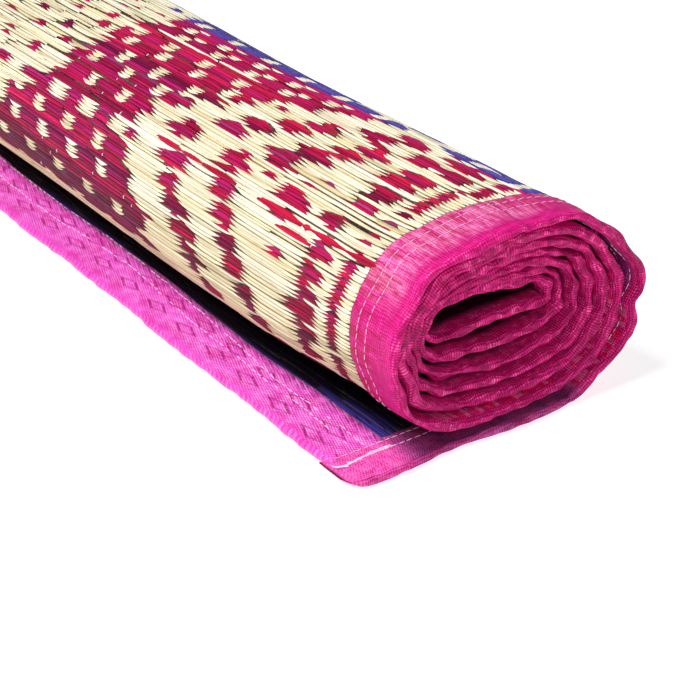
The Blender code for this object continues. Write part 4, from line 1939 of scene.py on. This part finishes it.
@dataclass
class EndBand(EdgeCloth):
    """Satin band folded over one end of the grass, between the two side tapes."""

    inner_end: bool = False
    wall: float = 0.5
    lift: float = 2.2
    fold_out: float = 1.2
    row_gap: float = 3.0
    tuck: float = 18.5
    flat_width: float = 58.5

    slot = "band"

    def __post_init__(self) -> None:
        """Draw the puckers and the waviness of the fold."""
        self.pucker = Wander(self.seed, 16.0)
        self.wave = Wander(self.seed + 1, 70.0)

    def build(self) -> Piece:
        """Make the band as one closed thin mesh.

        Returns:
            The finished piece.
        """
        roll = self.roll
        width = roll.sizes.band_width
        margin = self.tuck
        span = roll.width - 2.0 * margin
        rows = np.linspace(margin, roll.width - margin, round(span / self.row_gap))
        reach = np.linspace(width, 1.0, 11)
        angle = np.linspace(0.5 * pi, -0.5 * pi, 7)[1:-1]
        outer, inner = (np.concatenate([reach, 1.0 - (1.0 + self.fold_out - offset) * np.cos(angle),
                                        reach[::-1]]) for offset in (0.0, self.wall))
        height = np.concatenate([np.full(11, 1.0), np.sin(angle), np.full(11, -1.0)])
        count = len(height)
        inwards = np.concatenate([outer, inner[::-1]])[None, :]
        side = np.concatenate([height, height[::-1]])[None, :]
        offset = np.concatenate([np.zeros(count), np.full(count, self.wall)])[None, :]
        along = np.broadcast_to(rows[:, None], (len(rows), 2 * count))
        flat_face = smooth_step(abs(side) * 1.4 - 0.4)
        puff = 0.26 * self.pucker.at(along, inwards * 1.6) * np.where(side < 0.0, 1.0, 0.25)
        puff = puff * smooth_step(inwards / 4.0) * smooth_step((width - inwards) / 3.0)
        to_side = np.minimum(rows, roll.width - rows) - margin
        under_tape = smooth_step((to_side - 2.0) / 5.0)[:, None]
        lift = side * (self.lift - offset) * (0.86 + 0.14 * under_tape) + np.sign(side) * puff * flat_face
        wave = 0.7 * self.wave.at(along, 0.0) + 0.35 * self.pucker.at(along, 50.0)
        edge_share = smooth_step(1.0 - inwards / 10.0) * under_tape
        inner_share = smooth_step((inwards - width + 6.0) / 6.0) * under_tape
        inwards = inwards + wave * edge_share * 0.6 + 0.5 * self.wave.at(along, 200.0) * inner_share
        if self.inner_end:
            walked = inwards * np.ones_like(along)
        else:
            walked = roll.length - inwards * np.ones_like(along)
            lift = -lift
        across = np.broadcast_to(np.maximum(inwards, 0.0), along.shape)
        skin = np.linspace(0.0, 1.0, count)
        mesh = FlatMesh(rows - margin, skin, along, walked, lift, across, lanes=4)
        return self.placed(mesh, BandFinish())

    def flat_size(self) -> Pair:
        """Width of the band, and its length with both ends under the tapes."""
        return self.flat_width, self.roll.width - 2.0 * self.tuck


@dataclass
class Sewing:
    """All the stitching of the tapes and bands, and the ties of the weave."""

    roll: RollShape
    stitch: float = 3.3
    gap: float = 0.55
    seed: int = 8
    end_margin: float = 4.0
    # turns at which the rows start, on the face that looks out of the roll and on the other
    first_turns: Pair = (5.3, 5.6)
    round_insets: Pair = (6.3, 12.6)
    loose_insets: Pair = (2.4, 8.2)
    # rows along a band: distance from the near side edge, and from the band's outer edge
    band_lines: tuple[tuple[Pair, ...], ...] = (
        ((20.0, 19.0), (65.0, 18.2), (90.0, 18.0), (122.0, 21.5), (160.0, 25.6), (200.0, 26.5),
         (900.0, 26.5)),
        ((20.0, 13.4), (60.0, 14.0), (100.0, 14.9), (150.0, 16.5), (190.0, 17.6), (225.0, 20.0),
         (300.0, 15.7), (900.0, 15.7)),
    )
    # back-tack at the corner: distance from the outer edge, and from the near side edge
    tack_line: tuple[Pair, ...] = ((-1.8, 12.2), (9.2, 14.3), (18.4, 15.2), (27.8, 15.1))

    def __post_init__(self) -> None:
        """Build the tree that lays stitches."""
        self.draw = np.random.default_rng(self.seed)
        self.tree = StitchTree()
        self.wander = Wander(51, 45.0)
        self.cotton = ThreadFinish("sewing_cotton", (0.96, 0.84, 0.94), (0.86, 0.42, 0.70))
        self.pink_cotton = ThreadFinish("pink_sewing_cotton", (0.96, 0.62, 0.84), (0.84, 0.28, 0.60))

    def _steps(self, first: float, last: float, lengths: Pair, gaps: Pair) -> Iterator[Pair]:
        """Walk along a row, stitch by stitch.

        Args:
            first: Where the row starts.
            last: Where it ends.
            lengths: Least and most length of a stitch, as shares of the usual one.
            gaps: Least and most gap after it, as shares of the usual one.

        Yields:
            The middle and the length of each stitch.
        """
        place = first
        while place < last:
            length = self.stitch * self.draw.uniform(*lengths)
            yield place + 0.5 * length, length
            place += length + self.gap * self.draw.uniform(*gaps)

    def _sewn(self, name: str, seeds: Seeds, finish: Finish, slot: str, outer_face: bool = True,
              sides: int = StitchTree.SEWN_SIDES) -> Piece:
        """Make a finished piece of stitches.

        Args:
            name: Name of the piece.
            seeds: Where the stitches lie.
            finish: Finish of the thread.
            slot: The material slot it stands for.
            outer_face: Whether it lies on the face that looks out of the roll.
            sides: Sides of the thread.

        Returns:
            The piece.
        """
        piece = self.tree.grow(name, seeds, finish, sides)
        roll_up(piece, self.roll, outer_face)
        return dress(piece, slot)

    def _row(self, seeds: Seeds, along: Callable[[float], float], first: float, lift: float) -> None:
        """Sew one row round the roll, as far as the mat's outer end.

        Args:
            seeds: Where the stitches are collected.
            along: Distance of the row from the near edge at a distance walked.
            first: Distance walked where it starts.
            lift: Height over the sheet's middle.
        """
        last = self.roll.length - self.end_margin
        for middle, length in self._steps(first, last, (0.8, 1.2), (0.5, 1.5)):
            sway = 0.28 * float(self.wander.at(middle, lift * 9.0)) + self.draw.normal(0.0, 0.06)
            turned = 0.5 * pi + self.draw.normal(0.0, 0.06)
            seeds.add(centre=(along(middle) + sway, middle, lift), size=(0.5 * length, 0.19, 0.20),
                      turned=turned)

    def tape_rows(self, tape: SideTape) -> list[Piece]:
        """Sew the two rows of one side tape, on both faces.

        Args:
            tape: The tape.

        Returns:
            The finished pieces.
        """
        roll = self.roll
        width = roll.width
        outer, under = Seeds(), Seeds()
        for round_inset, loose_inset in zip(self.round_insets, self.loose_insets):

            def along(walked: float, around: float = round_inset, loose: float = loose_inset) -> float:
                """Distance of the row from the near edge."""
                share = float(smooth_step((walked - roll.length + roll.sizes.loose_reach) / 40.0))
                place = float(tape.width_at(walked)) - around - (loose - around) * share
                return width - place if tape.far_side else place

            for seeds, turns in zip((outer, under), self.first_turns):
                self._row(seeds, along, roll.walked_at(turns), tape.lift + 0.20)
        self._tack(under, tape)
        return [self._sewn(tape.name + "_outer_stitches", outer, self.pink_cotton, tape.slot),
                self._sewn(tape.name + "_inner_stitches", under, self.cotton, tape.slot, False)]

    def _tack(self, seeds: Seeds, tape: SideTape) -> None:
        """Sew over the loose corner of a side tape several times.

        Args:
            seeds: Where the stitches are collected.
            tape: The tape.
        """
        outwards, inwards = zip(*self.tack_line)
        for place in np.arange(outwards[0], outwards[-1], 1.1):
            for strand in (-0.55, 0.45):
                middle = place + self.draw.normal(0.0, 0.25)
                along = float(np.interp(middle, outwards, inwards)) + strand * self.draw.uniform(0.3, 1.3)
                along = self.roll.width - along if tape.far_side else along
                size = (self.draw.uniform(0.9, 1.8), self.draw.uniform(0.18, 0.30), 0.34)
                seeds.add(centre=(along, self.roll.length - middle, tape.lift + 0.25), size=size,
                          turned=0.5 * pi + self.draw.normal(0.05, 0.22))

    def band_rows(self, band: EndBand) -> list[Piece]:
        """Sew the rows of one end band.

        Args:
            band: The band.

        Returns:
            The finished pieces.
        """
        roll = self.roll
        seeds = Seeds()
        for number, line in enumerate(self.band_lines):
            stops, inwards_at = zip(*line)
            last = roll.width - 26.0
            for middle, length in self._steps(22.0, last, (0.9, 1.6), (0.5, 2.0)):
                inwards = float(np.interp(middle, stops, inwards_at))
                lean = float(np.interp(middle + 2.0, stops, inwards_at)) - inwards
                inwards += 0.35 * float(self.wander.at(middle, number * 9.0))
                walked = inwards if band.inner_end else roll.length - inwards
                if self.draw.random() < (0.95, 0.80)[number]:
                    lift = band.lift + 0.14 + 0.26 * float(band.pucker.at(middle, inwards * 1.6))
                    lean = (lean if band.inner_end else -lean) * 0.5
                    seeds.add(centre=(middle, walked, lift), size=(0.5 * length, 0.24, 0.24),
                              turned=lean + self.draw.normal(0.0, 0.06))
        return [self._sewn(band.name + "_stitches", seeds, self.cotton, band.slot, band.inner_end)]

    def weave_ties(self, ties: list[Triple]) -> Piece:
        """Lay the white warp threads that show where they tie a strand down.

        Args:
            ties: Distance along, distance walked and row width of each tie.

        Returns:
            The finished piece.
        """
        seeds = Seeds()
        for along, walked, width in ties:
            turned = 0.5 * pi + self.draw.normal(0.0, 0.10)
            size = (0.5 * width * self.draw.uniform(0.9, 1.15), self.draw.uniform(0.22, 0.42), 0.42)
            seeds.add(centre=(along, walked, 1.02), size=size, turned=turned)
        finish = ThreadFinish("warp_cotton", (0.92, 0.88, 0.90), (0.70, 0.58, 0.66))
        return self._sewn("warp_ties", seeds, finish, "grass", sides=StitchTree.WOVEN_SIDES)


@dataclass
class Studio:
    """Pale floor, soft lights and the camera."""

    eye: Triple = (-0.4717, -0.9975, 0.4437)
    turned: float = -35.85
    raised: float = 29.45
    lens: float = 97.3

    def build(self) -> None:
        """Make the studio round the mat."""
        self._floor()
        self._light("top_panel", (-0.75, -0.25, 1.35), (0.0, -0.10, 0.0), 0.8, 25.5)
        self._light("front_panel", (-0.30, -1.55, 0.70), (0.0, -0.40, 0.05), 0.6, 6.6)
        world = bpy.data.worlds.new("studio_air")
        world.use_nodes = True
        shade = world.node_tree.nodes["Background"]
        shade.inputs["Color"].default_value = (1.0, 1.0, 1.0, 1.0)
        shade.inputs["Strength"].default_value = 0.14
        bpy.context.scene.world = world
        view = bpy.context.scene.view_settings
        view.view_transform = "Standard"
        view.look = "None"
        self._camera()

    @staticmethod
    def _floor() -> None:
        """Lay the floor."""
        data = bpy.data.meshes.new("studio_floor")
        half = 6.0
        corners = [(-half, -half, 0.0), (half, -half, 0.0), (half, half, 0.0), (-half, half, 0.0)]
        data.from_pydata(corners, [], [(0, 1, 2, 3)])
        data.materials.append(FloorFinish().material())
        linked("studio_floor", data)

    @staticmethod
    def _light(name: str, place: Triple, aim: Triple, size: float, power: float) -> None:
        """Hang a square soft light.

        Args:
            name: Name of the light.
            place: Where it hangs, in metres.
            aim: Where it points.
            size: Side of the square.
            power: Its power in watts.
        """
        data = bpy.data.lights.new(name, "AREA")
        data.shape = "SQUARE"
        data.size = size
        data.energy = power
        lamp = linked(name, data)
        lamp.location = place
        lamp.rotation_euler = (Vector(aim) - Vector(place)).to_track_quat("-Z", "Y").to_euler()

    def _camera(self) -> None:
        """Set up the camera."""
        data = bpy.data.cameras.new("camera")
        data.lens = self.lens
        data.sensor_width = 36.0
        data.clip_start = 0.05
        data.clip_end = 30.0
        camera = linked("camera", data)
        camera.location = self.eye
        turned, raised = radians(self.turned), radians(self.raised)
        ahead = Vector((-sin(turned) * cos(raised), cos(turned) * cos(raised), -sin(raised)))
        camera.rotation_euler = ahead.to_track_quat("-Z", "Y").to_euler()
        bpy.context.scene.camera = camera


def main() -> None:
    """Build every piece of the mat in order."""
    logging.basicConfig(level=logging.INFO, format="%(message)s")
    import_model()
    bpy.context.view_layer.update()
    roll = RollShape(MatSizes())
    Studio().build()
    GrassSheet(roll).build()
    sewing = Sewing(roll)
    near = SideTape(roll, "near_tape", "side_binding_near", 61)
    far = SideTape(roll, "far_tape", "side_binding_far", 71, far_side=True, coarse_gap=2.6, fine_gap=1.8)
    strands = StrandField(roll)
    strands.build(near)
    sewing.weave_ties(strands.ties)
    for tape in (near, far):
        tape.declare(tape.build(), sewing.tape_rows(tape))
    outer_band = EndBand(roll, "outer_band", "end_band_outer", 81)
    inner_band = EndBand(roll, "inner_band", "end_band_inner", 91, inner_end=True)
    for band in (outer_band, inner_band):
        band.declare(band.build(), sewing.band_rows(band))
    bpy.context.view_layer.update()


if __name__ == "__main__":
    main()
